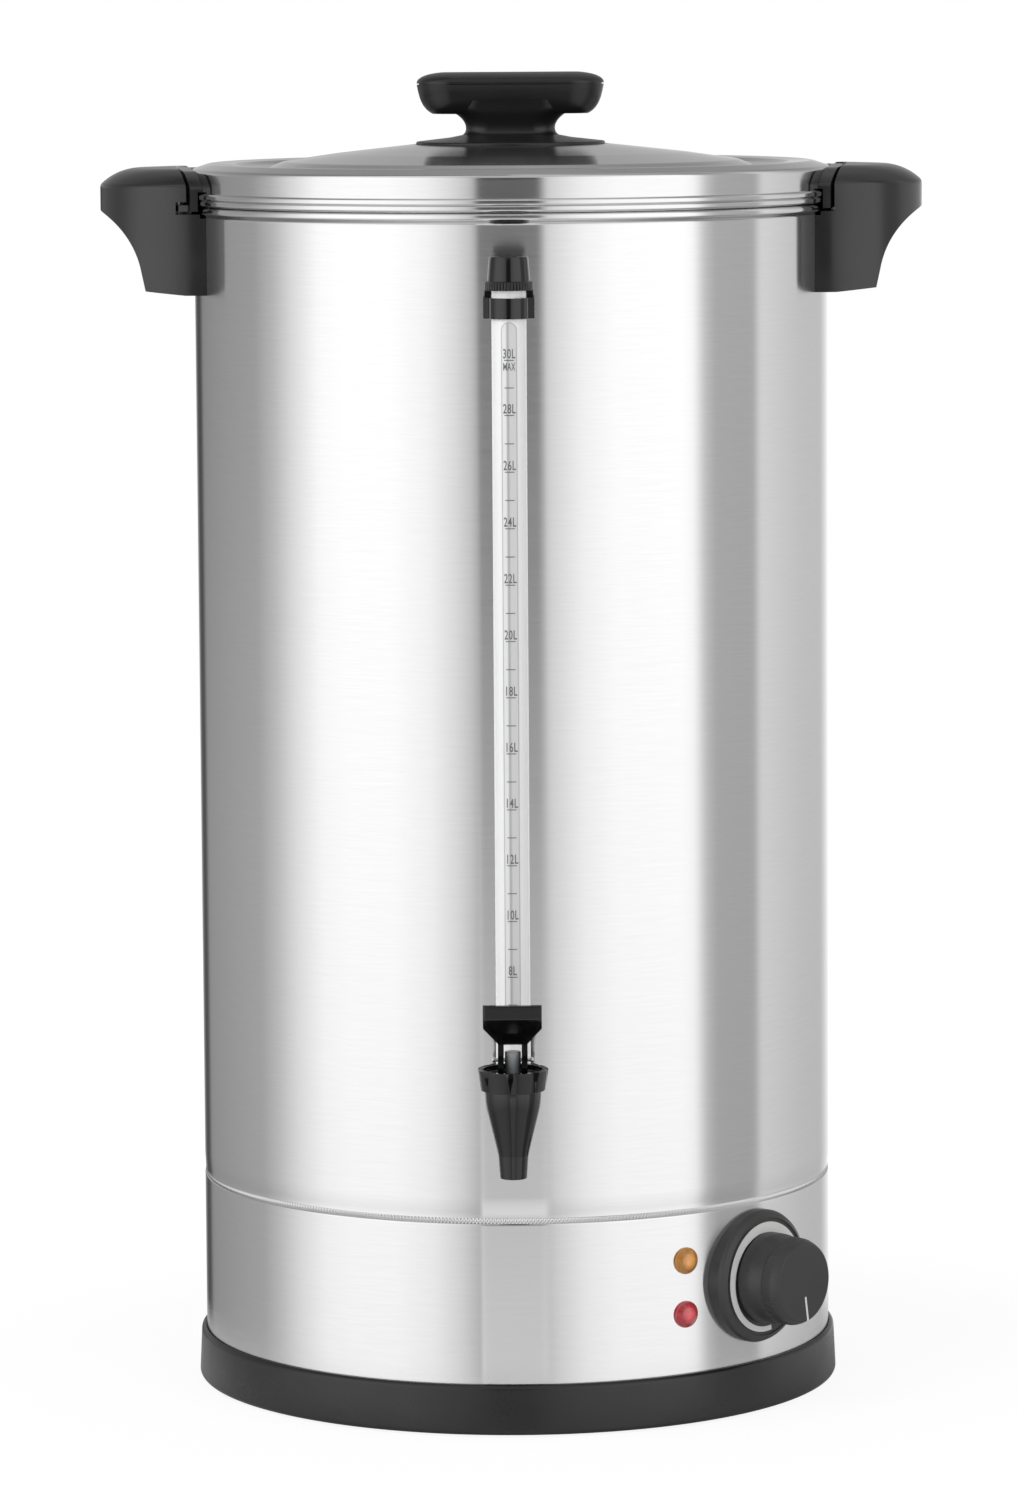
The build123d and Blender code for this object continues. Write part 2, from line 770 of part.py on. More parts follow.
def base_skirt():
    """Steel skirt below the seam, with holes for the dial, lamps and gland."""
    top = seam_height - seam_band / 2
    shape = turned(
        (body_inner, skirt_ledge), (body_radius, skirt_ledge), (body_radius, top, 0.6), (body_inner, top)
    )
    holes = [
        (dial_azimuth, dial_height, bush_radius),
        (lamp_azimuth, lamp_heights[0], lamp_body_radius),
        (lamp_azimuth, lamp_heights[1], lamp_body_radius),
        (180, gland_height, gland_radius),
    ]
    for azimuth, height, radius in holes:
        hole = rod(radius + hole_gap, body_inner - 5, body_radius + 5)
        shape -= outwards(azimuth, height) * hole
    return shape


# ---- Thermal cut-out and its reset button ----
cutout_place = (81.0 - base_inner, base_inner - 86.0)
cutout_size = (36.0, 24.0, 26.0)
reset_radius = 3.0
reset_bottom = 1.2
reset_travel = 2.0
reset_length = 14.0


def cutout_body():
    """Cut-out switch that stands on the base plate, bored for its button."""
    length, depth, height = cutout_size
    block = Pos(*cutout_place, base_recess + height / 2) * Box(length, depth, height)
    block = fillet(block.edges().filter_by(Axis.Z), 2.0)
    bore_top = reset_bottom + reset_length + reset_travel + 5
    block -= Pos(*cutout_place) * rod(reset_radius + slide_gap, base_recess - 1, bore_top)
    for side in (-1, 1):
        tab = Pos(cutout_place[0] + side * 11, cutout_place[1], base_recess + height + 3)
        block += tab * Box(0.8, 6.3, 6.4)
    return block


def reset_button():
    """Push button below the cut-out; its end stays inside the base recess."""
    button = turned(
        (0, reset_bottom), (reset_radius, reset_bottom, 0.6),
        (reset_radius, reset_bottom + reset_length), (0, reset_bottom + reset_length),
    )
    return Pos(*cutout_place) * button


def reset_spring():
    """Spring that pushes the button down."""
    low = reset_bottom + reset_length
    return Pos(*cutout_place) * spring(2.2, 0.3, low, low + reset_travel + 5, 4)


# ---- Thermostat ----
thermostat_front = body_inner - 5.0
thermostat_depth = 26.0
thermostat_half = 17.0
bezel_face = body_radius + bezel_depth
bush_front = bezel_face + 4.2
knob_back = bezel_face + 0.6
knob_face = body_radius + dial_knob_front
nut_front = bezel_face + 3.0


def thermostat_body():
    """Capillary thermostat behind the skirt with the bush that passes through it."""
    depth_middle = thermostat_front - thermostat_depth / 2
    block = Pos(0, 0, depth_middle) * Box(2 * thermostat_half, 2 * thermostat_half, thermostat_depth)
    block = fillet(block.edges().filter_by(Axis.Z), 2.0)
    block += rod(8.0, thermostat_front - 1, body_inner - 0.25)
    block += rod(bush_radius, thermostat_front, bush_front)
    back = thermostat_front - thermostat_depth
    for side in (-1, 1):
        block += Pos(side * 9, 0, back - 3.5) * Box(6.3, 0.8, 7.4)
    block -= rod(dial_shaft_radius + shaft_gap, thermostat_front - 12, bush_front + 1)
    return outwards(dial_azimuth, dial_height) * block


def thermostat_shaft():
    """Shaft that turns with the knob."""
    shaft = rod(dial_shaft_radius, thermostat_front - 11.5, knob_face - 7)
    return outwards(dial_azimuth, dial_height) * shaft


def thermostat_nut():
    """Nut on the bush that clamps the bezel and the skirt."""
    nut = hexagon(14.0, bezel_face, nut_front) - rod(bush_radius + fit_gap, bezel_face - 1, nut_front + 1)
    return outwards(dial_azimuth, dial_height) * nut


def sensor_bulb():
    """Bulb under the tank floor and its capillary to the thermostat."""
    height = floor_under - bulb_radius - fit_gap
    frame = outwards(dial_azimuth, height)
    half = bulb_length / 2
    bulb = frame * Pos(0, 0, bulb_circle) * Rot(0, 90, 0) * rod(bulb_radius, -half, half)
    turn = radians(dial_azimuth)
    across = Vector(cos(turn), sin(turn), 0)
    out = Vector(sin(turn), -cos(turn), 0)
    start = across * (bulb_length / 2 - 1) + out * bulb_circle + Vector(0, 0, height)
    inlet = out * (thermostat_front - thermostat_depth / 2) + Vector(0, 0, dial_height + thermostat_half)
    capillary = wire_run(
        0.8, 4.0,
        start,
        start + across * 8,
        start + across * 8 - Vector(0, 0, 14),
        inlet + Vector(0, 0, 12),
        inlet,
    )
    return bulb + capillary


def bulb_clip():
    """Clip that holds the bulb against the floor."""
    height = floor_under - bulb_radius - fit_gap
    strap = Pos(0, (floor_under - height) / 2 - 2.2, bulb_circle) * Box(
        12, floor_under - height + 4.4, 2 * bulb_radius + 4
    )
    strap -= Pos(0, 0, bulb_circle) * Rot(0, 90, 0) * rod(bulb_radius + fit_gap, -10, 10)
    strap -= Pos(0, 5, bulb_circle) * Box(20, 10, 2 * bulb_radius + 2 * fit_gap)
    return outwards(dial_azimuth, height) * strap


def dial_bezel():
    """Black bezel shaped to the body, with a seat for the scale."""
    rear = sqrt(body_radius**2 - bezel_radius**2) - 1.0
    lip = scale_radius + 2.3
    ring = turned(
        (bush_radius + fit_gap, rear),
        (bezel_radius, rear),
        (bezel_radius, bezel_face - 3.1, 0.6),
        (bezel_radius - 0.9, bezel_face - 1.2, 0.6),
        (lip, bezel_face + 0.5, 0.2),
        (lip - 0.5, bezel_face + 0.5, 0.1),
        (lip - 0.7, bezel_face),
        (bush_radius + fit_gap, bezel_face),
    )
    hollow = tube(bezel_radius - 2.4, 14.0, rear - 1, bezel_face - 2.2)
    ring = outwards(dial_azimuth, dial_height) * (ring - hollow)
    return ring - body_bore()


def dial_scale():
    """Pale wedge on the bezel that widens clockwise."""
    start = radians(-90 + pointer_angle)
    sweep_angle = radians(-285)
    outer_end = start + sweep_angle
    thin = scale_radius - 2.4
    thick = scale_radius - 6.4

    def spiral(share):
        """Point on the wedge's inner edge."""
        angle = start + sweep_angle * share
        reach = thin + (thick - thin) * share
        return reach * cos(angle), reach * sin(angle)

    def rim(share):
        """Point on the wedge's outer edge."""
        angle = start + sweep_angle * share
        return scale_radius * cos(angle), scale_radius * sin(angle)

    inner = Spline(*[spiral(i / 12) for i in range(13)])
    outer = [ThreePointArc(rim(0), rim(0.25), rim(0.5)), ThreePointArc(rim(0.5), rim(0.75), rim(1))]
    face = make_face([inner, *outer, Line(spiral(0), rim(0)), Line(spiral(1), rim(1))])
    wedge = Pos(0, 0, bezel_face) * extrude(face, 0.25)
    return outwards(dial_azimuth, dial_height) * wedge


def thermostat_knob():
    """Turned knob, hollow at its back, with the slot for its pointer."""
    radius = dial_knob_radius
    body = turned(
        (0, knob_back), (radius, knob_back, 0.4), (radius, knob_back + 7.0, 20.0),
        (radius - 0.9, knob_back + 12.5, 0.3), (radius - 1.1, knob_back + 12.9, 0.3),
        (radius - 1.3, knob_face - 3.0, 3.0), (radius - 2.8, knob_face, 1.4), (0, knob_face),
    )
    body -= rod(12.0, knob_back - 1, nut_front + 2.2)
    body -= rod(dial_shaft_radius + fit_gap, knob_back, knob_face - 6.8)
    return outwards(dial_azimuth, dial_height) * (body - pointer_shape(fit_gap))


def pointer_shape(grow=0.0):
    """Bar on the knob's face that runs over its edge."""
    bar = Pos(0, -dial_knob_radius / 2 - 3.2, knob_face - 0.35) * Box(
        1.2 + 2 * grow, dial_knob_radius / 2 + 3.0 + 2 * grow, 0.8
    )
    return Rot(0, 0, pointer_angle) * bar


def knob_pointer():
    """White pointer let into the knob."""
    limit = turned(
        (0, knob_back), (dial_knob_radius - 1.3, knob_back), (dial_knob_radius - 1.3, knob_face - 1.9),
        (dial_knob_radius - 2.8, knob_face + 0.05), (0, knob_face + 0.05),
    )
    return outwards(dial_azimuth, dial_height) * (pointer_shape() & limit)


# ---- Lamps ----
lamp_depth = 21.0


def lamp_lens(height):
    """Domed lens with a flange on the body and a stem inside its holder."""
    seat = body_radius
    dome = turned(
        (0, seat - 1), (lens_radius, seat - 1), (lens_radius, seat + 0.9, 0.4),
        (lens_radius - 0.7, seat + 1.1, 0.2), (lens_radius - 2.6, seat + 2.7, 2.0),
        (lens_radius - 4.6, seat + 3.1, 1.0), (0, seat + 3.1),
    )
    lens = outwards(lamp_azimuth, height) * dome - body_bore()
    stem = rod(lamp_body_radius - 1.0, seat - 8, seat + 1)
    lens -= outwards(lamp_azimuth, height) * rod(lamp_body_radius + fit_gap, seat - 2, seat + 0.35)
    return lens + outwards(lamp_azimuth, height) * stem


def lamp_holders():
    """Tubular lamp bodies behind the lenses, each with a clip nut and two tabs."""
    pieces = []
    front = body_radius + 0.3
    back = body_radius - lamp_depth
    for height in lamp_heights:
        holder = rod(lamp_body_radius, back, front)
        holder -= rod(lamp_body_radius - 1.0 + fit_gap, body_radius - 8.5, front + 1)
        for side in (-1, 1):
            holder += Pos(side * 1.8, 0, back - 2.4) * Box(0.6, 2.6, 5.0)
        nut = tube(7.0, lamp_body_radius + fit_gap, body_inner - 3.0, body_inner - 0.25)
        place = outwards(lamp_azimuth, height)
        pieces += [place * holder, place * nut]
    return pieces


# ---- Sight tube ----
socket_radius = 12.0
socket_depth = 5.0        # socket below the shank's axis
socket_top = tap_height + 16.0
socket_floor = tap_height + 7.5
seal_radius = 10.4
seal_depth = 5.0
tube_high = rim_height - tube_top
strip_high = rim_height - strip_top
strip_bottom = tap_height + strip_start


def on_tube(shape):
    """Shape moved from the axis of the body to the tube's axis."""
    return Pos(0, -tube_axis, 0) * shape


def on_tap(shape):
    """Shape moved from the axis of the body to the tap's axis."""
    return Pos(0, -tap_axis, 0) * shape


def sight_tube():
    """Clear tube that shows the water level."""
    return on_tube(tube(tube_radius, tube_radius - tube_wall, socket_floor, tube_high))


def scale_strip():
    """Strip with the litre marks, bent round the front of the tube, its upper end round."""
    band = tube(tube_radius + strip_sheet, tube_radius + 0.02, strip_bottom, strip_high)
    half = strip_width / 2
    front = Pos(0, (strip_bottom + strip_high - half) / 2) * Rectangle(
        strip_width, strip_high - half - strip_bottom
    )
    front += Pos(0, strip_high - half) * Circle(half)
    return on_tube(band & extrude(Plane.XZ * front, 2 * tube_radius))


def tube_seal():
    """Rubber ring that seals the tube in its socket."""
    ring = tube(seal_radius, tube_radius + fit_gap, socket_top - seal_depth, socket_top - 0.5)
    return on_tube(ring)


def tube_cap():
    """Tapered cap with a knurled flange and a vent."""
    low = tube_high - 7.5
    high = low + tube_cap_flange + tube_cap_height
    flange = tube_radius + 2.95
    shape = turned(
        (0, low), (flange - 0.3, low), (flange, low + 0.3), (flange, low + tube_cap_flange - 0.3),
        (flange - 0.3, low + tube_cap_flange), (tube_radius + 1.9, low + tube_cap_flange),
        (tube_radius + 0.95, high, 0.8), (0, high),
    )
    shape -= rod(tube_radius + fit_gap, low - 1, tube_high + 0.4)
    shape -= rod(1.0, low, high + 1)
    return on_tube(shape)


def tube_collar():
    """Collar round the tube with the block that stands on the body."""
    low = rim_height - collar_drop
    high = low + collar_height
    half = collar_half_width
    front = tube_radius + 1.2
    back = tube_standoff + 3
    ring = extrude(Circle(front), collar_height)
    block = extrude(
        outline((-front, -1.5), (front, -1.5), (half, 1.3), (half, back), (-half, back), (-half, 1.3)),
        collar_height,
    )
    arms = Pos(0, 0, collar_height) * extrude(
        outline((-half + 0.6, 3.5), (half - 0.6, 3.5), (half - 0.6, back), (-half + 0.6, back)), 3.0
    )
    shape = ring + block + arms - rod(tube_radius + fit_gap, -1, collar_height + 4)
    shape = on_tube(Pos(0, 0, low) * shape) - body_bore()
    hole = rod(collar_screw_radius + fit_gap, body_radius - 5, tube_axis - tube_radius)
    return shape - outwards(0, (low + high) / 2) * hole


def collar_screw():
    """Screw from inside the tank into the collar, with its sealing washer."""
    head_back = body_inner - washer_sheet - 2.2
    screw = turned(
        (0, head_back), (3.0, head_back), (3.6, head_back + 0.8), (3.6, head_back + 2.2),
        (collar_screw_radius, head_back + 2.2),
        (collar_screw_radius, tube_axis - tube_radius - 0.8), (0, tube_axis - tube_radius - 0.8),
    )
    ring = tube(5.0, collar_screw_radius + fit_gap, body_inner - washer_sheet, body_radius)
    place = outwards(0, collar_middle)
    return place * screw, (place * ring) & rod(body_inner - fit_gap, 0, rim_height)


# ---- Tap ----
spout_end = tap_height - spout_drop
cone_bottom = spout_end + 15.7
barrel_bottom = tap_height + 4.0
barrel_top = tap_height + 10.0
crown_top = barrel_top + crown_height
cup_floor = crown_top - 3.0
cup_radius = crown_radius - 2.8
cap_under = cup_floor - 2.0
thread_radius = tap_barrel - 1.55
chamber_radius = thread_radius - 2.2
seat_low = spout_end + 18.0
seat_high = seat_low + 9.0
pin_height = cup_floor + 7.2
stem_top = pin_height + 4.0
flange_out = 5.0
tap_washer = 2.0
tap_flange_radius = 12.5


def tap_body():
    """Tap body: spout, chamber, shank through the wall and socket for the tube."""
    outer = turned(
        (0, spout_end), (spout_radius, spout_end, 0.5), (spout_radius + 0.85, cone_bottom - 4.7),
        (tap_neck, cone_bottom, 28.0), (tap_barrel, barrel_bottom, 40.0), (tap_barrel, barrel_top),
        (thread_radius, barrel_top), (thread_radius, cap_under - fit_gap), (0, cap_under - fit_gap),
    )
    shape = on_tap(outer)
    flange = rod(tap_flange_radius, body_radius + tap_washer, body_radius + flange_out)
    shank = rod(shank_radius, body_inner - 8, tap_axis - 2)
    shape += outwards(0, tap_height) * (shank + flange)
    shape += on_tube(rod(socket_radius, tap_height - socket_depth, socket_top))
    shape -= on_tube(rod(tube_radius + fit_gap, socket_floor, socket_top + 1))
    shape -= on_tube(rod(seal_radius + fit_gap, socket_top - seal_depth, socket_top + 1))
    shape -= on_tube(rod(tube_radius - tube_wall - 1, tap_height, socket_top))
    chamber = turned(
        (0, seat_low), (spout_bore, seat_low), (chamber_radius, seat_high),
        (chamber_radius, cap_under + 1), (0, cap_under + 1),
    )
    shape -= on_tap(chamber)
    shape -= on_tap(rod(spout_bore, spout_end - 1, seat_low + 1))
    return shape - outwards(0, tap_height) * rod(flow_bore, body_inner - 9, tap_axis - 2)


def tap_crown():
    """Open crown on top of the tap with V-shaped flutes; the stem passes its floor."""
    outer_low = crown_radius - 1.4
    shape = turned(
        (thread_radius + fit_gap, barrel_top), (outer_low, barrel_top, 0.4),
        (crown_radius, crown_top, 0.4), (cup_radius, crown_top, 0.3),
        (cup_radius - 0.2, cup_floor, 0.5), (stem_radius + slide_gap, cup_floor),
        (stem_radius + slide_gap, cap_under), (thread_radius + fit_gap, cap_under),
    )
    flute = loft(
        [
            Pos(0, 0, barrel_top + 0.4) * outline((outer_low - 0.1, 0), (18, -0.9), (18, 0.9)),
            Pos(0, 0, crown_top + 1) * outline((crown_radius - 2.0, 0), (19, -5.8), (19, 5.8)),
        ]
    )
    for i in range(crown_grooves):
        shape -= Rot(0, 0, 360 * i / crown_grooves - 94) * flute
    return on_tap(shape)


def tap_washers():
    """Rubber washers outside and inside the tank wall."""
    place = outwards(0, tap_height)
    bore = shank_radius + fit_gap
    outer = place * tube(tap_flange_radius, bore, body_radius - 2, body_radius + tap_washer)
    inner = place * tube(tap_flange_radius, bore, body_inner - tap_washer, body_radius)
    return outer - body_bore(), inner & rod(body_inner - fit_gap, 0, rim_height)


def tap_nut():
    """Hexagon nut inside the tank."""
    nut = hexagon(24.0, body_inner - tap_washer - 5.0, body_inner - tap_washer)
    nut -= rod(shank_radius + fit_gap, body_inner - 10, body_inner)
    return outwards(0, tap_height) * nut


def tap_stem():
    """Grey stem with the cross hole for its pin."""
    low = seat_low + 6.0
    shape = turned((0, low), (stem_radius, low), (stem_radius, stem_top, 0.4), (0, stem_top))
    shape -= Pos(0, 0, pin_height) * Rot(0, 90, 0) * rod(pin_radius + 0.02, -10, 10)
    return on_tap(shape)


def tap_pin():
    """Cross pin with rounded ends."""
    half = pin_length / 2
    shape = turned(
        (0, -half), (1.2, -half, 0.5), (1.2, -half + 1.4, 0.3), (pin_radius, -half + 1.4),
        (pin_radius, half - 1.4), (1.2, half - 1.4, 0.3), (1.2, half, 0.5), (0, half),
    )
    return on_tap(Pos(0, 0, pin_height) * Rot(0, 90, 0) * shape)


def seat_cup():
    """Silicone plug on the stem that closes the spout."""
    slope = (chamber_radius - spout_bore) / (seat_high - seat_low)
    low = seat_low + 0.8
    wide = seat_low + 6.0
    top = seat_low + 11.0
    shape = turned(
        (0, low), (spout_bore - 0.3 + slope * 0.8, low, 0.3),
        (spout_bore - 0.3 + slope * 6.0, wide, 0.6), (spout_bore - 0.3 + slope * 6.0, top),
        (0, top),
    )
    return on_tap(shape - rod(stem_radius + fit_gap, seat_low + 6.0, top + 1))


def tap_spring():
    """Closing spring between the crown and the seat cup."""
    return on_tap(spring(5.4, 0.45, seat_low + 11.0, cap_under, 5))


def cam_point(turn):
    """Point of the lever's heel that bears on the crown's floor at a lever angle, pin at zero."""
    rate = stem_lift / radians(lever_turn)
    reach = pin_height - cup_floor - seat_gap + rate * turn
    return reach * sin(turn) + rate * cos(turn), rate * sin(turn) - reach * cos(turn)


def tap_lever():
    """Paddle lever: fork legs with cam heels, and a hollow paddle that rises to the front."""
    turns = [radians(lever_turn) * i / 8 for i in range(9)]
    heel = [cam_point(turn) for turn in turns]
    toe_x, toe_y = heel[-1]
    base = heel[0][1]
    bridge = 8.4
    side_edges = [
        Line((-3.2, base), heel[0]),
        Spline(*heel),
        Line(heel[-1], (toe_x - 0.3, toe_y + 1.4)),
        Line((toe_x - 0.3, toe_y + 1.4), (4.4, 2.6)),
        Line((4.4, 2.6), (4.2, bridge)),
        Line((4.2, bridge), (4.2, bridge + 2)),
        Line((4.2, bridge + 2), (-3.2, bridge + 2)),
        Line((-3.2, bridge + 2), (-3.2, base)),
    ]
    side = make_face(side_edges)
    legs = extrude(Plane.YZ * side, fork_width / 2, both=True)
    legs -= Pos(0, 5, bridge - 20) * Box(fork_width - 2 * leg_thickness, 40, 40)
    front_low = lever_rise - 6.4
    paddle_side = outline(
        (-3.2, bridge - 0.6), (4.4, bridge - 0.6), (lever_reach, front_low, 0.6),
        (lever_reach, lever_rise, 0.8), (lever_reach - 3.5, lever_rise, 1.5), (-0.5, 14.2, 4.0),
        (-3.2, 12.0),
    )
    slab = extrude(Plane.YZ * paddle_side, lever_width / 2, both=True)
    half = lever_width / 2
    neck = fork_width / 2
    plan = outline(
        (-neck, -4), (neck, -4), (neck, 5.0), (half, 17.0, 1.5), (half, lever_reach - 1.2),
        (half - 1.2, lever_reach + 0.1), (-half + 1.2, lever_reach + 0.1), (-half, lever_reach - 1.2),
        (-half, 17.0, 1.5), (-neck, 5.0),
    )
    paddle = slab & extrude(plan, lever_rise + 5)
    rise = (front_low - bridge + 0.6) / (lever_reach - 4.4)
    slope = degrees(atan2(rise, 1))
    length = (lever_reach - 4.4) / cos(radians(slope))
    hollow = outline(
        (-neck + 2.2, 1.5), (neck - 2.2, 1.5), (half - 2.0, 0.62 * length, 2.0),
        (half - 2.0, length - 1.4, 1.5), (-half + 2.0, length - 1.4, 1.5), (-half + 2.0, 0.62 * length, 2.0),
    )
    pocket = Pos(0, 4.4, bridge - 0.6) * Rot(slope, 0, 0) * Pos(0, 0, -1) * extrude(hollow, 3.6)
    shape = legs + (paddle - pocket)
    shape -= Rot(0, 90, 0) * rod(pin_radius + shaft_gap + 0.02, -10, 10)
    return on_tap(Pos(0, 0, pin_height) * Rot(0, 0, 180) * shape)


# ---- Back of the base ----
gland_front = 20.0


def cord_gland():
    """Gland for the mains cord: hexagon flange, domed nut and bore."""
    shape = hexagon(22.0, body_radius + 0.1, body_radius + 5)
    shape += turned(
        (0, body_radius + 5), (9.8, body_radius + 5), (9.8, body_radius + 13, 1.0),
        (6.2, body_radius + gland_front, 1.5), (0, body_radius + gland_front),
    )
    shape += rod(gland_radius, body_inner - 10, body_radius + 1)
    shape -= rod(gland_bore, body_inner - 12, body_radius + gland_front + 1)
    return outwards(180, gland_height) * shape


def gland_nut():
    """Lock nut inside the skirt."""
    nut = hexagon(22.0, body_inner - 4.7, body_inner - 0.7)
    nut -= rod(gland_radius + fit_gap, body_inner - 10, body_radius)
    return outwards(180, gland_height) * nut


def earth_stud():
    """Earth stud on the skirt's inner face with its nut."""
    place = outwards(earth_azimuth, earth_height)
    stud = place * rod(2.0, body_inner - 16, body_inner - fit_gap)
    nut = place * (hexagon(7.0, body_inner - 8.5, body_inner - 5.5) - rod(2.0 + fit_gap, 100, body_inner))
    tag = place * (tube(4.5, 2.0 + fit_gap, body_inner - 5.5, body_inner - 4.5))
    return stud, nut, tag


# ---- Terminal block and wires ----
block_place = (45.0, base_inner - 46.0)
block_size = (52.0, 18.0, 16.0)
block_top = base_recess + block_size[2]


def terminal_block():
    """Porcelain block with three brass inserts' openings, screwed to the base plate."""
    length, depth, height = block_size
    shape = Pos(*block_place, base_recess + height / 2) * Box(length, depth, height)
    for i in (-1, 0, 1):
        shape -= Pos(block_place[0] + 15 * i, block_place[1], block_top) * Cylinder(3.0, 6.0)
    return shape


def terminal_screws():
    """Brass clamp screws of the terminal block."""
    return [
        Pos(block_place[0] + 15 * i, block_place[1], 0) * rod(2.9, block_top - 3, block_top)
        for i in (-1, 0, 1)
    ]


def wiring():
    """Inside wires between block, cut-out, thermostat, heating element and earth stud."""
    gauge = 1.2
    bend = 6.0
    pin_end = heater_axis - heater_leg - heater_pin
    pin_x = heater_ring * sin(radians(heater_gap)) - heater_bend * cos(radians(heater_gap))
    pin_y = heater_ring * cos(radians(heater_gap)) + heater_bend * sin(radians(heater_gap))
    pin_right, pin_left = Vector(pin_x, pin_y, 0), Vector(-pin_x, pin_y, 0)
    turn = radians(dial_azimuth)
    across = Vector(cos(turn), sin(turn), 0)
    out = Vector(sin(turn), -cos(turn), 0)
    tabs = out * (thermostat_front - thermostat_depth - 7.2) + Vector(0, 0, dial_height)
    tab_left, tab_right = tabs - across * 9, tabs + across * 9
    cutout_top = base_recess + cutout_size[2] + 6.2
    cutout_left = Vector(cutout_place[0] - 11, cutout_place[1], cutout_top)
    cutout_right = Vector(cutout_place[0] + 11, cutout_place[1], cutout_top)
    live, neutral, earth = [Vector(block_place[0] + 15 * i, block_place[1], block_top) for i in (-1, 0, 1)]
    stud = outwards(earth_azimuth, earth_height) * Pos(0, 0, body_inner - 5)
    low = Vector(0, 0, cutout_top + 14)
    high = Vector(0, 0, pin_end - 16)

    def at(point, level):
        """The point moved to a level."""
        return Vector(point.X, point.Y, level.Z)

    return [
        wire_run(gauge, bend, live, at(live, low), at(cutout_right, low), cutout_right),
        wire_run(
            gauge, bend, cutout_left, at(cutout_left, low),
            tab_left - out * 36 - Vector(0, 0, 12), tab_left - out * 20, tab_left,
        ),
        wire_run(
            gauge, bend, Vector(pin_left.X, pin_left.Y, pin_end), at(pin_left, high),
            tab_right - out * 40, tab_right,
        ),
        wire_run(
            gauge, bend, neutral, at(neutral, high), at(pin_right, high),
            Vector(pin_right.X, pin_right.Y, pin_end),
        ),
        wire_run(
            gauge, bend, earth, earth + Vector(0, 0, 12),
            stud.position - Vector(0, 14, 6.0), stud.position - Vector(0, 0, 6.0),
        ),
    ]


# ---- Assembly ----
write("base_ring", base_ring())
write("foot_pads", *foot_pads())
write("base_plate", base_plate())
write("base_screws", *base_screws())
write("base_skirt", base_skirt())
write("seam_weld", seam_ring())
write("tank_wall", tank_wall())
write("tank_floor", tank_floor())

write("heat_spreader", heater_spreader())
write("heating_element", heating_element())
write("heater_nut", *heater_nut())
write("cutout_body", cutout_body())
write("reset_button", reset_button())
write("reset_spring", reset_spring())
write("thermostat_body", thermostat_body())
write("thermostat_shaft", thermostat_shaft())
write("thermostat_nut", thermostat_nut())
write("sensor_bulb", sensor_bulb())
write("bulb_clip", bulb_clip())
write("terminal_block", terminal_block())
write("terminal_screws", *terminal_screws())
write("wiring", *wiring())
write("earth_stud", *earth_stud())

write("dial_bezel", dial_bezel())
write("dial_scale", dial_scale())
write("thermostat_knob", thermostat_knob())
write("knob_pointer", knob_pointer())
write("amber_lens", lamp_lens(lamp_heights[0]))
write("red_lens", lamp_lens(lamp_heights[1]))
write("lamp_holders", *lamp_holders())
write("cord_gland", cord_gland())
write("gland_nut", gland_nut())

write("tap_body", tap_body())
write("tap_crown", tap_crown())
write("tap_washers", *tap_washers())
write("tap_nut", tap_nut())
write("tap_stem", tap_stem())
write("tap_pin", tap_pin())
write("seat_cup", seat_cup())
write("tap_spring", tap_spring())
write("tap_lever", tap_lever())

write("sight_tube", sight_tube())
write("scale_strip", scale_strip())
write("tube_seal", tube_seal())
write("tube_cap", tube_cap())
write("tube_collar", tube_collar())
write("collar_screw", *collar_screw())

write("handle_right", handle())
write("handle_left", half_turn(handle()))
write("handle_screws", *handle_screws(90), *handle_screws(-90))
write("handle_washers", *handle_washers(90), *handle_washers(-90))

write("lid_shell", lid_shell())
write("lid_lug_right", lid_lug())
write("lid_lug_left", half_turn(lid_lug()))
write("lug_rivets", *lug_rivets())
write("lid_knob_disc", knob_disc())
write("lid_knob_grip", knob_grip())
write("lid_knob_cap", knob_cap())
write("lid_knob_screw", *knob_screw())
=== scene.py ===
import math

import bpy
from mathutils import Matrix, Vector

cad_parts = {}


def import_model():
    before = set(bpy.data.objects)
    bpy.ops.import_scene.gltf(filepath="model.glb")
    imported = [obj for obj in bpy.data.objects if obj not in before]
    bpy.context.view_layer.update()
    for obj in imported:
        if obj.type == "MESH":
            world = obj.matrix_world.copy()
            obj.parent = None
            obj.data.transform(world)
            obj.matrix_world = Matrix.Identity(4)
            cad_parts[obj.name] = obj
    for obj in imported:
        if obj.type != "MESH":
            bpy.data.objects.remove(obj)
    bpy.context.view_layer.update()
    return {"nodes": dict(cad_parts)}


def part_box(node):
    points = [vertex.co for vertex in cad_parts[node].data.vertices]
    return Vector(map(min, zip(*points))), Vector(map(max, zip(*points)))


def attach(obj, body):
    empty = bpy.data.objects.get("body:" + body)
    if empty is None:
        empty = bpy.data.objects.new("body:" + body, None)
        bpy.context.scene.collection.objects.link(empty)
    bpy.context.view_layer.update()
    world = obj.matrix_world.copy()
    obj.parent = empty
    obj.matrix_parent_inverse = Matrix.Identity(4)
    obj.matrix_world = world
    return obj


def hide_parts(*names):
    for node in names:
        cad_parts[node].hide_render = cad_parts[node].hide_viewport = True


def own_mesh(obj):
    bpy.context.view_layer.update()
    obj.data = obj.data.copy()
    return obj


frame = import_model()
nodes = frame["nodes"]

MM = 1000                   # millimetres in a metre
TURN = 2 * math.pi
DIAL_SIDE = math.radians(48.5)      # azimuth of the dial, from the tap towards +X


# ---------------------------------------------------------------- camera

# From a perspective fit of the object's outline in the photograph.
CAMERA_ANGLES = (0.48841, 6.67377, -0.35614)        # yaw, pitch and roll in degrees
CAMERA_PLACE = (0.02397, -3.1509, 0.68102)
CAMERA_LENS = 152.964
SENSOR_WIDTH = 36
FAR_CLIP = 60


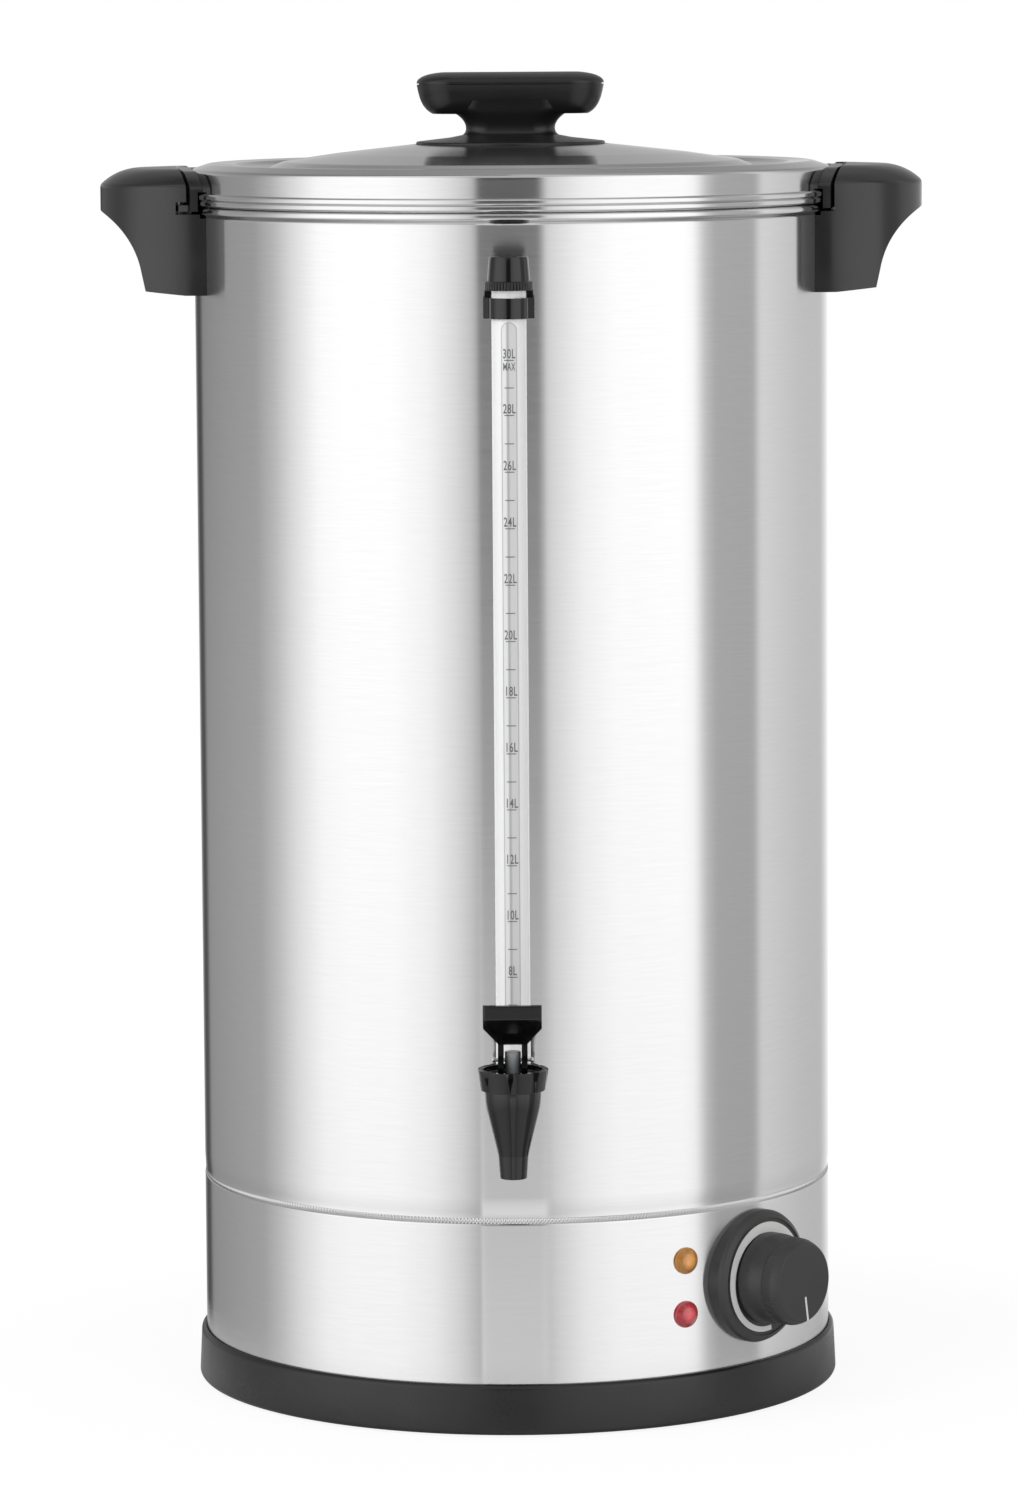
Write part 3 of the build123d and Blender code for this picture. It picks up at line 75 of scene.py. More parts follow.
def place_camera():
    """Camera at the photograph's viewing angle."""
    yaw, pitch, roll = (math.radians(a) for a in CAMERA_ANGLES)
    look = Vector((
        -math.sin(yaw) * math.cos(pitch), math.cos(yaw) * math.cos(pitch), -math.sin(pitch)
    ))
    right = Vector((math.cos(yaw), math.sin(yaw), 0))
    up = right.cross(look)
    turned_right = right * math.cos(roll) + up * math.sin(roll)
    turned_up = up * math.cos(roll) - right * math.sin(roll)
    data = bpy.data.cameras.new("camera")
    data.lens = CAMERA_LENS
    data.sensor_width = SENSOR_WIDTH
    data.clip_end = FAR_CLIP
    camera = bpy.data.objects.new("camera", data)
    bpy.context.scene.collection.objects.link(camera)
    columns = Matrix((turned_right, turned_up, -look)).transposed()
    camera.matrix_world = Matrix.Translation(CAMERA_PLACE) @ columns.to_4x4()
    bpy.context.scene.camera = camera


# ---------------------------------------------------------------- material helpers

NOISE_ROUGHNESS = 0.55
NOISE_SPAN = (0.3, 0.7)     # where nearly all values of a noise lie
MIX_SOCKETS = (0, 6, 7)     # factor and the two colours of a colour mix
MIX_RESULT = 2


class Graph:
    """Short helpers for a node tree."""

    def __init__(self, tree):
        self.tree = tree

    def feed(self, socket, value):
        """Links an output to the socket, or sets the socket to a constant."""
        if hasattr(value, "is_output"):
            self.tree.links.new(value, socket)
        else:
            socket.default_value = value

    def node(self, kind, *values, **settings):
        """New node; values go into its inputs in order, settings are attributes or inputs."""
        node = self.tree.nodes.new(kind)
        for key, value in settings.items():
            if hasattr(node, key):
                setattr(node, key, value)
            else:
                node.inputs[key.replace("_", " ")].default_value = value
        for socket, value in zip(node.inputs, values):
            self.feed(socket, value)
        return node

    def math(self, operation, *values):
        return self.node("ShaderNodeMath", *values, operation=operation).outputs[0]

    def add(self, first, second):
        return self.math("ADD", first, second)

    def times(self, first, second):
        return self.math("MULTIPLY", first, second)

    def place(self):
        """Object coordinates in metres."""
        return self.node("ShaderNodeTexCoord").outputs["Object"]

    def coords(self, scale=(1, 1, 1)):
        """Object coordinates, scaled."""
        return self.node("ShaderNodeMapping", self.place(), Scale=scale).outputs[0]

    def noise(self, scale, detail=3.0, stretch=(1, 1, 1)):
        return self.node(
            "ShaderNodeTexNoise", self.coords(stretch),
            Scale=scale, Detail=detail, Roughness=NOISE_ROUGHNESS,
        ).outputs["Fac"]

    def cells(self, scale):
        """Distance to the nearest point of a cell pattern."""
        return self.node("ShaderNodeTexVoronoi", self.coords(), Scale=scale).outputs["Distance"]

    def range(self, value, low, high, start=0.0, end=1.0):
        """Low at start, high at end, held outside them."""
        return self.node("ShaderNodeMapRange", value, start, end, low, high).outputs[0]

    def mix(self, factor, first, second, blend="MIX"):
        node = self.node("ShaderNodeMix", data_type="RGBA", blend_type=blend)
        for socket, value in zip(MIX_SOCKETS, (factor, first, second)):
            self.feed(node.inputs[socket], value)
        return node.outputs[MIX_RESULT]

    def ramp(self, factor, stops):
        """Colour ramp through stops of position and colour."""
        node = self.node("ShaderNodeValToRGB", factor)
        elements = node.color_ramp.elements
        elements.remove(elements[-1])
        for i, (position, color) in enumerate(stops):
            element = elements.new(position) if i else elements[0]
            element.position = position
            element.color = color
        return node.outputs[0]

    def unlit(self):
        """One for rays that should see plain white: the camera's, also through clear pieces."""
        rays = self.node("ShaderNodeLightPath").outputs
        return self.math("MAXIMUM", rays["Is Camera Ray"], rays["Is Transmission Ray"])


class Shader(Graph):
    """A Principled material with its node tree."""

    def __init__(self, name, **sockets):
        self.material = bpy.data.materials.new(name)
        self.material.use_nodes = True
        super().__init__(self.material.node_tree)
        self.bsdf = self.tree.nodes["Principled BSDF"]
        for key, value in sockets.items():
            self.bsdf.inputs[key.replace("_", " ")].default_value = value

    def into(self, socket, value):
        self.tree.links.new(value, self.bsdf.inputs[socket])

    def bump(self, height, distance):
        node = self.node("ShaderNodeBump", Strength=1.0, Distance=distance)
        self.tree.links.new(height, node.inputs["Height"])
        self.into("Normal", node.outputs[0])


def grey(value):
    return (value, value, value, 1)


def grey_stops(stops):
    return [(position, grey(value)) for position, value in stops]


def scaled(color, factor):
    return [c * factor for c in color] + [1]


def brushed(name, tone, rough, lines, spread, depth=4e-6, streaks=0.05):
    """Steel brushed along circles about Z: fine streaks with the shine spread across them."""
    around = 60             # streaks per metre along the brushing
    unevenness = 0.006
    s = Shader(name, Metallic=1.0, Anisotropic=spread, Anisotropic_Rotation=0.25)
    fine = s.noise(lines, 2.0, (around / lines, around / lines, 1))
    broad = s.noise(7.0, 3.0, (1, 1, 2.5))
    coarse = s.noise(lines * 0.3, 2.0, (0.06, 0.06, 1))
    streak = s.add(s.times(fine, 0.85), s.times(coarse, 0.15))
    dark, light = grey(tone * (1 - streaks)), grey(tone * (1 + streaks))
    s.into("Base Color", s.mix(s.range(streak, 0.0, 1.0, *NOISE_SPAN), dark, light))
    s.into("Roughness", s.add(
        s.range(streak, rough - unevenness, rough + unevenness, *NOISE_SPAN),
        s.range(broad, -unevenness, unevenness, *NOISE_SPAN),
    ))
    s.bump(streak, depth)
    tangent = s.node("ShaderNodeTangent", direction_type="RADIAL", axis="Z")
    s.into("Tangent", tangent.outputs[0])
    return s.material


def plain_steel(name, tone, rough):
    """Drawn, zinc-plated or turned metal."""
    s = Shader(name, Metallic=1.0)
    fine = s.noise(500, 3.0)
    shade = s.range(fine, 0.0, 1.0, *NOISE_SPAN)
    s.into("Base Color", s.mix(shade, scaled(tone, 0.85), scaled(tone, 1)))
    s.into("Roughness", s.range(s.noise(60, 3.0), rough - 0.06, rough + 0.08, *NOISE_SPAN))
    s.bump(fine, 8e-6)
    return s.material


def plastic(name, color, rough, grain, size=900, coat=0.0, ior=1.5):
    """Moulded plastic: mould grain of a depth and size, slight unevenness and rubbed patches."""
    spots = 0.08
    s = Shader(name, Coat_Weight=coat, Coat_Roughness=0.12, IOR=ior)
    dark = scaled(color, 1 - spots)
    light = [min(1, c * (1 + spots) + 0.002) for c in color] + [1]
    s.into("Base Color", s.mix(s.range(s.noise(22, 4.0), 0.0, 1.0, 0.35, 0.65), dark, light))
    s.into("Roughness", s.range(s.noise(35, 4.0), rough - 0.05, rough + 0.06, *NOISE_SPAN))
    s.bump(s.add(s.cells(size), s.noise(size * 0.6, 2.0)), grain)
    return s.material


# ---------------------------------------------------------------- materials

M = {}

# Painted light and shade of a lens from its middle to its rim: a bright middle, a darker ring, a
# bright ring and a darker rim.
LENS_PAINTED_LIGHT = [(0.0, 1.0), (0.4, 1.0), (0.62, 0.78), (0.7, 1.0), (0.82, 0.9), (0.97, 0.5)]

# Painted shade across the printed film, paler at its sides, and darker in a band left of its
# middle.
FILM_SHADE_STOPS = [
    (0.0, 0.84), (0.3, 0.82), (0.37, 0.5), (0.46, 0.5), (0.54, 0.68), (0.8, 0.7), (1.0, 0.76),
]


def make_materials():
    M["body"] = brushed("body_steel", 0.7, 0.153, 1500, spread=0.96, depth=5e-8, streaks=0.02)
    M["lid"] = brushed("lid_steel", 0.66, 0.14, 1300, spread=0.8, depth=5e-8, streaks=0.02)
    M["weld"] = brushed("weld_steel", 0.62, 0.22, 1800, spread=0.2, depth=1e-6)
    M["drawn"] = brushed("drawn_steel", 0.6, 0.3, 1200, spread=0.4)
    M["zinc"] = plain_steel("zinc_plate", (0.60, 0.61, 0.62), 0.34)
    M["screw"] = plain_steel("screw_steel", (0.62, 0.62, 0.62), 0.28)
    M["chrome"] = plain_steel("polished_pin", (0.78, 0.78, 0.79), 0.1)
    M["aluminium"] = plain_steel("pressed_aluminium", (0.75, 0.75, 0.76), 0.36)
    M["heater"] = plain_steel("tinted_tube", (0.36, 0.32, 0.29), 0.42)
    M["brass"] = plain_steel("turned_brass", (0.74, 0.54, 0.26), 0.27)
    M["copper"] = plain_steel("copper_tube", (0.76, 0.42, 0.28), 0.3)
    M["black"] = plastic("black_phenolic", (0.01, 0.01, 0.0105), 0.3, 1e-5, 1000, ior=1.48)
    M["dial"] = plastic("grained_black", (0.028, 0.028, 0.0285), 0.4, 1.6e-5)
    M["handle"] = plastic("satin_phenolic", (0.014, 0.014, 0.0143), 0.2, 1e-6, 1100, ior=1.52)
    M["gloss"] = plastic("smooth_black", (0.004, 0.004, 0.0043), 0.08, 4e-7, ior=1.52)
    M["knob"] = plastic("satin_black", (0.009, 0.009, 0.0095), 0.31, 1e-6, ior=1.46)
    M["grey"] = plastic("grey_plastic", (0.30, 0.31, 0.32), 0.35, 3e-6)
    M["white"] = plastic("white_plastic", (0.80, 0.80, 0.79), 0.4, 3e-6)
    M["print"] = plastic("pale_print", (0.74, 0.74, 0.73), 0.45, 2e-6)
    M["ink"] = plastic("ink", (0.12, 0.12, 0.125), 0.5, 2e-6)
    M["switch"] = plastic("switch_plastic", (0.06, 0.06, 0.065), 0.45, 1e-5)
    M["button"] = plastic("red_button", (0.5, 0.02, 0.02), 0.35, 3e-6)
    M["rubber"] = plastic("black_rubber", (0.03, 0.03, 0.03), 0.7, 2e-5, 1400)
    M["silicone"] = plastic("silicone", (0.55, 0.54, 0.5), 0.45, 5e-6)
    M["wire"] = plastic("wire_silicone", (0.45, 0.04, 0.03), 0.45, 5e-6)
    M["ceramic"] = plastic("glazed_ceramic", (0.78, 0.76, 0.71), 0.16, 3e-6, coat=0.6)
    M["amber"] = lens("amber_lens", (1.0, 0.41, 0.035))
    M["red"] = lens("red_lens", (0.935, 0.044, 0.0695))
    M["film_edge"] = plastic("film_edge", (0.36, 0.36, 0.365), 0.4, 1e-6)
    M["tube"] = tube_material()
    M["strip"] = strip_material()


def lens(name, color):
    """Coloured clear plastic over a pale faceted reflector: painted highlight rings, a painted
    bright middle and painted shade at its rim.
    """
    # glow is a painted highlight added to the colour where the stops are brightest.
    glow, highlight_level = 0.06, 0.85
    s = Shader(name, Roughness=0.08, IOR=1.5, Coat_Weight=0.7, Coat_Roughness=0.04,
               Subsurface_Weight=0.35, Subsurface_Scale=0.002, Subsurface_Radius=(1.0, 0.5, 0.2))
    low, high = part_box(name)
    centre = [(a + b) / 2 for a, b in zip(low, high)]
    away = s.node("ShaderNodeVectorMath", s.place(), centre, operation="DISTANCE")
    share = s.math("DIVIDE", away.outputs["Value"], (high[2] - low[2]) / 2)
    painted_rings = s.ramp(share, [
        (position, [min(1, c * value + glow * (value > highlight_level)) for c in color] + [1])
        for position, value in LENS_PAINTED_LIGHT
    ])
    # Facet cells bump the lens; in its colour they are painted glints and shade of the facets.
    facets = s.cells(1100.0)
    shade = s.mix(s.range(facets, 0.0, 1.0, 0.1, 0.6), grey(1.0), grey(0.6))
    s.into("Base Color", s.mix(0.5, painted_rings, shade, "MULTIPLY"))
    s.bump(facets, 3e-5)
    return s.material


def tube_material():
    """Clear sight tube with faint streaks along it; its near-white colour is painted light, the
    brightness that shows through the clear tube.
    """
    s = Shader("clear_tube", Roughness=0.06, IOR=1.45, Transmission_Weight=0.22)
    streaks = s.range(s.noise(30, 3.0, (1, 1, 0.1)), 0.0, 1.0, *NOISE_SPAN)
    s.into("Base Color", s.mix(streaks, (0.96, 0.965, 0.965, 1), (1.0, 1.0, 1.0, 1)))
    return s.material


def strip_material():
    """Printed film: pale, with painted shade across it and a darker band left of its middle."""
    s = Shader("scale_film", Roughness=0.25, IOR=1.45, Transmission_Weight=0.2)
    low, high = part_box("scale_strip")
    across = s.node("ShaderNodeSeparateXYZ", s.place()).outputs[0]
    share = s.range(across, 0.0, 1.0, low[0], high[0])
    s.into("Base Color", s.ramp(share, grey_stops(FILM_SHADE_STOPS)))
    return s.material


# CAD nodes by the material that they wear.
PAINT = {
    "black": ["base_ring", "cord_gland", "gland_nut"],
    "dial": ["dial_bezel", "thermostat_knob"],
    "handle": ["handle_right", "handle_left", "lid_lug_right", "lid_lug_left"],
    "gloss": ["tap_body", "tap_crown", "tap_nut", "tap_lever", "tube_cap", "tube_collar"],
    "knob": ["lid_knob_disc", "lid_knob_grip", "lid_knob_cap"],
    "body": ["tank_wall", "base_skirt"],
    "lid": ["lid_shell"],
    "weld": ["seam_weld"],
    "drawn": ["tank_floor"],
    "zinc": [
        "base_plate", "base_screws", "heater_nut", "thermostat_body", "thermostat_shaft",
        "bulb_clip",
    ],
    "screw": [
        "handle_screws", "collar_screw", "lid_knob_screw", "lug_rivets", "tap_spring",
        "reset_spring",
    ],
    "chrome": ["tap_pin"],
    "aluminium": ["heat_spreader"],
    "heater": ["heating_element"],
    "brass": ["thermostat_nut", "terminal_screws", "earth_stud"],
    "copper": ["sensor_bulb"],
    "grey": ["tap_stem"],
    "white": ["knob_pointer"],
    "print": ["dial_scale"],
    "switch": ["cutout_body", "lamp_holders"],
    "button": ["reset_button"],
    "rubber": ["foot_pads"],
    "silicone": ["tap_washers", "seat_cup", "tube_seal", "handle_washers"],
    "wire": ["wiring"],
    "ceramic": ["terminal_block"],
    "amber": ["amber_lens"],
    "red": ["red_lens"],
    "tube": ["sight_tube"],
    "strip": ["scale_strip"],
}


def paint_nodes():
    for key, names in PAINT.items():
        for name in names:
            for slot in nodes[name].material_slots:
                slot.material = M[key]


# ---------------------------------------------------------------- mesh helpers

SHARP_EDGE = math.radians(35)


def new_object(name, verts, faces, material, smooth=True):
    mesh = bpy.data.meshes.new(name)
    mesh.from_pydata(verts, [], faces)
    mesh.validate()
    mesh.update()
    if smooth:
        mesh.polygons.foreach_set("use_smooth", [True] * len(mesh.polygons))
    obj = bpy.data.objects.new(name, mesh)
    bpy.context.scene.collection.objects.link(obj)
    mesh.materials.append(material)
    return obj


def ring_mesh(name, profile, steps, shape, material, closed=True):
    """Turned mesh: shape(r, z, i) gives the point of profile point (r, z) at step i."""
    count = len(profile)
    verts = [shape(r, z, i) for i in range(steps) for r, z in profile]
    faces = []
    for i in range(steps):
        j = (i + 1) % steps
        for k in range(count if closed else count - 1):
            n = (k + 1) % count
            faces.append((i * count + k, j * count + k, j * count + n, i * count + n))
    obj = new_object(name, verts, faces, material)
    obj.data.set_sharp_from_angle(angle=SHARP_EDGE)
    return obj


# ---------------------------------------------------------------- weld seam

WELD_RIPPLES = 560
RIPPLE_STEPS = 6            # mesh steps per ripple
WELD_ROWS = 7
WELD_THICKNESS = 0.0009
WELD_GROOVE = 0.00055       # how far the bottom of a groove lies inside the band's outside
WELD_RIDGE = 0.00068        # height of a ridge above its groove


def weld_seam():
    """Rolled weld: a band of fine upright ripples round the body."""
    low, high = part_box("seam_weld")
    bottom, top = low[2], high[2]
    outer = high[0]
    inner = outer - WELD_THICKNESS
    steps = WELD_RIPPLES * RIPPLE_STEPS
    rows = WELD_ROWS
    profile = [(inner, bottom)]
    profile += [(outer, bottom + (top - bottom) * k / (rows - 1)) for k in range(rows)]
    profile += [(inner, top)]

    def shape(r, z, i):
        angle = TURN * i / steps
        share = (z - bottom) / (top - bottom)
        bow = 1.2 * (share - 0.5) ** 2
        wave = abs(math.cos(math.pi * (i / RIPPLE_STEPS + bow))) ** 0.7
        swell = math.sin(math.pi * min(max(share, 0.06), 0.94)) ** 0.5
        if r > inner:
            r += WELD_RIDGE * wave * swell - WELD_GROOVE
        return r * math.cos(angle), r * math.sin(angle), z

    band = ring_mesh("weld_band", profile, steps, shape, M["weld"])
    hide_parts("seam_weld")
    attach(band, "urn")


# ---------------------------------------------------------------- turned sheets, in millimetres

SHEET = 0.8                 # thickness of the steel
ARC_STEP = 0.16             # largest turn between the points of a rounding, radians
SHEET_STEPS = 240           # mesh steps round the object
LONG_RUN = 3.0              # a straight run longer than this is held flat by points near its ends
RUN_END = 0.6               # distance of those points from the ends


def rounded(corners):
    """Points of a line of corners (r, z, radius), with arcs at the corners that have a radius."""
    points = []
    for i, (x, z, radius) in enumerate(corners):
        here = Vector((x, z))
        if not radius or i in (0, len(corners) - 1):
            points.append(here)
            continue
        before = (Vector(corners[i - 1][:2]) - here).normalized()
        after = (Vector(corners[i + 1][:2]) - here).normalized()
        half = before.angle(after) / 2
        centre = here + (before + after).normalized() * (radius / math.sin(half))
        start = here + before * (radius / math.tan(half)) - centre
        turn = start.angle_signed(here + after * (radius / math.tan(half)) - centre)
        steps = max(2, math.ceil(abs(turn) / ARC_STEP))
        for k in range(steps + 1):
            angle = -turn * k / steps
            points.append(centre + Vector((
                start.x * math.cos(angle) - start.y * math.sin(angle),
                start.x * math.sin(angle) + start.y * math.cos(angle),
            )))
    return points


def offset(points, thickness):
    """The line moved to its left."""
    moved = []
    for i, here in enumerate(points):
        along = (points[min(i + 1, len(points) - 1)] - points[max(i - 1, 0)]).normalized()
        moved.append(here + Vector((-along.y, along.x)) * thickness)
    return moved


def turned_sheet(node, points, body, material):
    """Fine turned copy of a round node from its outline."""

    def shape(r, z, i):
        angle = TURN * i / SHEET_STEPS
        return r * math.cos(angle), r * math.sin(angle), z

    profile = []
    for here, after in zip(points, points[1:] + points[:1]):
        profile.append((here.x / MM, here.y / MM))
        length = (after - here).length
        if length > LONG_RUN:
            for share in (RUN_END / length, 1 - RUN_END / length):
                there = here.lerp(after, share)
                profile.append((there.x / MM, there.y / MM))
    sheet = ring_mesh(node + "_sheet", profile, SHEET_STEPS, shape, material)
    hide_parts(node)
    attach(sheet, body)


def reach(node):
    """A round node's lowest and highest Z and its outer radius."""
    low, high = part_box(node)
    return low[2] * MM, high[2] * MM, high[0] * MM


def lid_sheet():
    """Lid: lip, two rolls, skirt, crowned annulus, valley and dome."""
    lip_depth, screw_hole, knob_seat = 7.3, 2.65, 47.5
    bottom, _, roll = reach("lid_shell")
    base = bottom + lip_depth
    skirt, lip = roll - 2.0, roll - 5.1
    shoulder, seat = base + 17.1, base + 27.7
    dome = skirt - 45.3
    top = rounded([
        (skirt, base + 6.4, 0), (skirt, shoulder, 2.2), (skirt - 9.0, shoulder + 2.9, 8.0),
        (skirt - 20.3, shoulder + 2.3, 1.2), (skirt - 23.5, shoulder + 0.7, 3.0),
        (skirt - 32.3, shoulder - 1.6, 6.0), (dome, shoulder + 3.5, 6.0),
        (0.6 * dome + 19.0, shoulder + 7.2, 30.0), (knob_seat + 0.8, seat + 0.8, 0.4),
        (knob_seat, seat, 0.4), (screw_hole, seat, 0),
    ])
    rolls = rounded([
        (lip - SHEET, base + 0.8, 0), (lip - SHEET, bottom, 0), (lip, bottom, 0.3), (lip, base, 0),
        (roll - 0.3, base, 1.0), (roll - 0.3, base + 2.5, 0.8), (roll - 0.8, base + 3.0, 0),
        (roll, base + 3.4, 0.8), (roll, base + 6.0, 1.2), (skirt, base + 6.4, 0),
    ])
    under = offset(top, SHEET)[::-1]
    inside = [Vector((skirt - SHEET, base + 1.6))]
    outline = rolls + top[1:] + under + inside
    turned_sheet("lid_shell", outline, "lid", M["lid"])


def wall_sheet():
    """Tank wall: drawn in above the weld, straight, rolled into a bead at the rim."""
    bottom, rim, bead = reach("tank_wall")
    outer = bead - 2.4
    inner, neck = outer - SHEET, outer - 0.3
    points = rounded([
        (inner, bottom, 0), (neck, bottom, 0), (neck, bottom + 1.2, 40.0),
        (outer, bottom + 6.5, 100.0), (outer, rim - 4.8, 1.5), (bead, rim - 3.5, 1.5),
        (bead, rim, 1.7), (inner, rim, 1.2), (inner, rim - 6.0, 0),
    ])
    turned_sheet("tank_wall", points, "urn", M["body"])


def skirt_sheet():
    """Base skirt below the weld."""
    bottom, top, outer = reach("base_skirt")
    inner = outer - SHEET
    points = rounded([(inner, bottom, 0), (outer, bottom, 0), (outer, top, 0.6), (inner, top, 0)])
    turned_sheet("base_skirt", points, "urn", M["body"])


def base_sheet():
    """Base ring: screw flange, foot, drafted wall, shadow groove and ledge for the skirt."""
    _, top, foot = reach("base_ring")
    ledge, _, skirt = reach("base_skirt")
    pads = 0.4              # it stands clear of the floor by its pads
    flange_bottom, flange_top = 4.0, 7.0
    opening = skirt - 15.0
    hole, ledge_end = opening - 12.0, skirt - 5.0
    groove, groove_bottom, seat = skirt + 0.85, top - 1.4, skirt + 0.05
    points = rounded([
        (hole, flange_bottom, 0), (opening, flange_bottom, 0), (opening, pads, 0),
        (foot, pads, 2.0), (foot - 1.2, top, 2.2), (groove, top, 0.4), (groove, groove_bottom, 0),
        (seat, groove_bottom, 0), (seat, ledge, 0), (ledge_end, ledge, 0),
        (ledge_end, flange_top, 0), (hole, flange_top, 0),
    ])
    turned_sheet("base_ring", points, "urn", M["black"])


# ---------------------------------------------------------------- springs

def coil(node, body):
    """Spring copied from its node in screw steel, riding on the body."""
    piece = bpy.data.objects.new(node + "_coil", nodes[node].data.copy())
    bpy.context.scene.collection.objects.link(piece)
    piece.data.materials.clear()
    piece.data.materials.append(M["screw"])
    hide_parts(node)
    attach(piece, body)
    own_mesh(piece)


# ---------------------------------------------------------------- sight tube marks

PRINT_LIFT = 0.0003         # how far print stands before the tube's outside
LITRES = range(7, 31)
LITRE_8 = 0.2256            # heights of two litre lines, and the steps above them
LITRE_28 = 0.4905
STEP_8 = 0.013245
STEP_28 = 0.01285
ODD_LINE, EVEN_LINE = 0.0044, 0.0046        # lengths of the lines
HALF_LINE = 0.00022         # half a line's width
LINE_CELLS = 6
LETTER_GAP = 1.08
LETTER_WEIGHT = 0.00007
EDGE_HALF = 0.00014         # half the width of the film's edge


def tube_front(x, z, lift):
    """Point on the front of the strip, x measured along its curve."""
    low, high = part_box("sight_tube")
    radius = (high[0] - low[0]) / 2 + lift
    centre = (low[1] + high[1]) / 2
    angle = x / radius
    return radius * math.sin(angle), centre - radius * math.cos(angle), z


def litre_height(litre):
    """Height of a litre line on the tube."""
    if litre >= 28:
        return LITRE_28 + (litre - 28) * STEP_28
    return LITRE_8 + (litre - 8) * STEP_8


def add_text(body, height, size, squeeze):
    """One printed word as vertices and faces in strip coordinates."""
    curve = bpy.data.curves.new("mark", "FONT")
    curve.body = body
    curve.size = size
    curve.align_x = "CENTER"
    curve.space_character = LETTER_GAP
    curve.resolution_u = 3
    curve.offset = LETTER_WEIGHT
    obj = bpy.data.objects.new("mark", curve)
    bpy.context.scene.collection.objects.link(obj)
    graph = bpy.context.evaluated_depsgraph_get()
    mesh = bpy.data.meshes.new_from_object(obj.evaluated_get(graph))
    verts = [(v.co.x * squeeze, v.co.y + height) for v in mesh.vertices]
    faces = [tuple(p.vertices) for p in mesh.polygons]
    bpy.data.objects.remove(obj)
    bpy.data.curves.remove(curve)
    bpy.data.meshes.remove(mesh)
    return verts, faces


def strip_marks():
    """Litre lines and numbers, laid on the curve of the scale strip."""
    verts, faces = [], []

    def take(points, polygons):
        start = len(verts)
        verts.extend(points)
        faces.extend(tuple(start + i for i in polygon) for polygon in polygons)

    def line(height, width):
        points = []
        for i in range(LINE_CELLS + 1):
            x = -width / 2 + width * i / LINE_CELLS
            points += [(x, height - HALF_LINE), (x, height + HALF_LINE)]
        take(points, [(2 * i, 2 * i + 2, 2 * i + 3, 2 * i + 1) for i in range(LINE_CELLS)])

    for litre in LITRES:
        height = litre_height(litre)
        line(height, ODD_LINE if litre % 2 else EVEN_LINE)
        if litre % 2 == 0:
            take(*add_text(f"{litre}L", height + 0.0010, size=0.0062, squeeze=0.62))
    take(*add_text("MAX", litre_height(LITRES[-1]) - 0.0047, size=0.0050, squeeze=0.52))
    lifted = [tube_front(x, z, PRINT_LIFT) for x, z in verts]
    marks = new_object("strip_marks", lifted, faces, M["ink"], smooth=False)
    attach(marks, "urn")


def strip_edge():
    """Thin edge of the scale film: two long sides and a rounded top."""
    side_steps, top_steps = 40, 16
    low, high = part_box("scale_strip")
    half = (high[0] - low[0]) / 2 - 0.0002
    bottom, top = low[2] + 0.0003, high[2] - 0.0003
    straight = top - half - bottom
    path = [(-half, bottom + straight * k / side_steps) for k in range(side_steps)]
    for k in range(top_steps + 1):
        angle = math.pi * k / top_steps
        path.append((-half * math.cos(angle), top - half + half * math.sin(angle)))
    path += [(half, top - half - straight * k / side_steps) for k in range(1, side_steps + 1)]
    verts, faces = [], []
    for i, (x, z) in enumerate(path):
        before, after = path[max(i - 1, 0)], path[min(i + 1, len(path) - 1)]
        along = Vector((after[0] - before[0], after[1] - before[1])).normalized()
        for side in (-EDGE_HALF, EDGE_HALF):
            verts.append(tube_front(x - along.y * side, z + along.x * side, PRINT_LIFT))
        if i:
            faces.append((2 * i - 2, 2 * i, 2 * i + 1, 2 * i - 1))
    edge = new_object("strip_edge", verts, faces, M["film_edge"], smooth=False)
    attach(edge, "urn")


# ---------------------------------------------------------------- knurled pieces

CAP_RIDGES = 44
CAP_STEPS = 8               # mesh steps per ridge
CAP_BORE = 0.00835
CAP_VENT = 0.0010
KNOB_RIDGES = 100
KNOB_STEPS = 6
KNOB_ROWS = 13
KNURL_SLANT = 2.2           # ridges that the knob's knurl leans over its height
# Distances from the body's axis: the knob's turned part, and the knurl on it.
KNOB_SPAN = (0.1748, 0.1832)
KNURL_SPAN = (0.1762, 0.1826)


def knurl_wave(phase):
    """Ridge profile: rounded ridges with narrow grooves."""
    return abs(math.cos(math.pi * phase)) ** 0.6


def tube_cap_mesh():
    """Cap of the sight tube with its knurled flange."""
    low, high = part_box("tube_cap")
    centre = (low[1] + high[1]) / 2
    bottom, top = low[2], high[2]
    flange = (high[0] - low[0]) / 2
    edge = bottom + 0.0043
    steps = CAP_RIDGES * CAP_STEPS
    wide, narrow = flange - 0.00105, flange - 0.002
    profile = [
        (CAP_BORE, bottom), (flange - 0.0006, bottom), (flange, bottom + 0.0004),
        (flange, bottom + 0.0020), (flange, edge - 0.0004), (flange - 0.0006, edge), (wide, edge),
        (wide - 0.00008, edge + 0.001), (narrow + 0.0001, top - 0.0012),
        (narrow - 0.0002, top - 0.0004), (narrow - 0.0009, top), (0.0022, top), (CAP_VENT, top),
        (CAP_VENT, top - 0.004), (CAP_BORE, top - 0.0045),
    ]

    def shape(r, z, i):
        angle = TURN * i / steps
        if r > flange - 0.0007 and z < edge + 1e-5:
            depth = 0.0006 if bottom < z < edge else 0.0003
            r -= depth * (1 - knurl_wave(i / CAP_STEPS))
        return r * math.cos(angle), centre + r * math.sin(angle), z

    cap = ring_mesh("tube_cap_body", profile, steps, shape, M["gloss"])
    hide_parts("tube_cap")
    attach(cap, "urn")


def dial_frame():
    """Axis, across, up and centre line of the dial."""
    out = Vector((math.sin(DIAL_SIDE), -math.cos(DIAL_SIDE), 0))
    across = Vector((math.cos(DIAL_SIDE), math.sin(DIAL_SIDE), 0))
    low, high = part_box("dial_bezel")
    return out, across, Vector((0, 0, 1)), Vector((0, 0, (low[2] + high[2]) / 2))


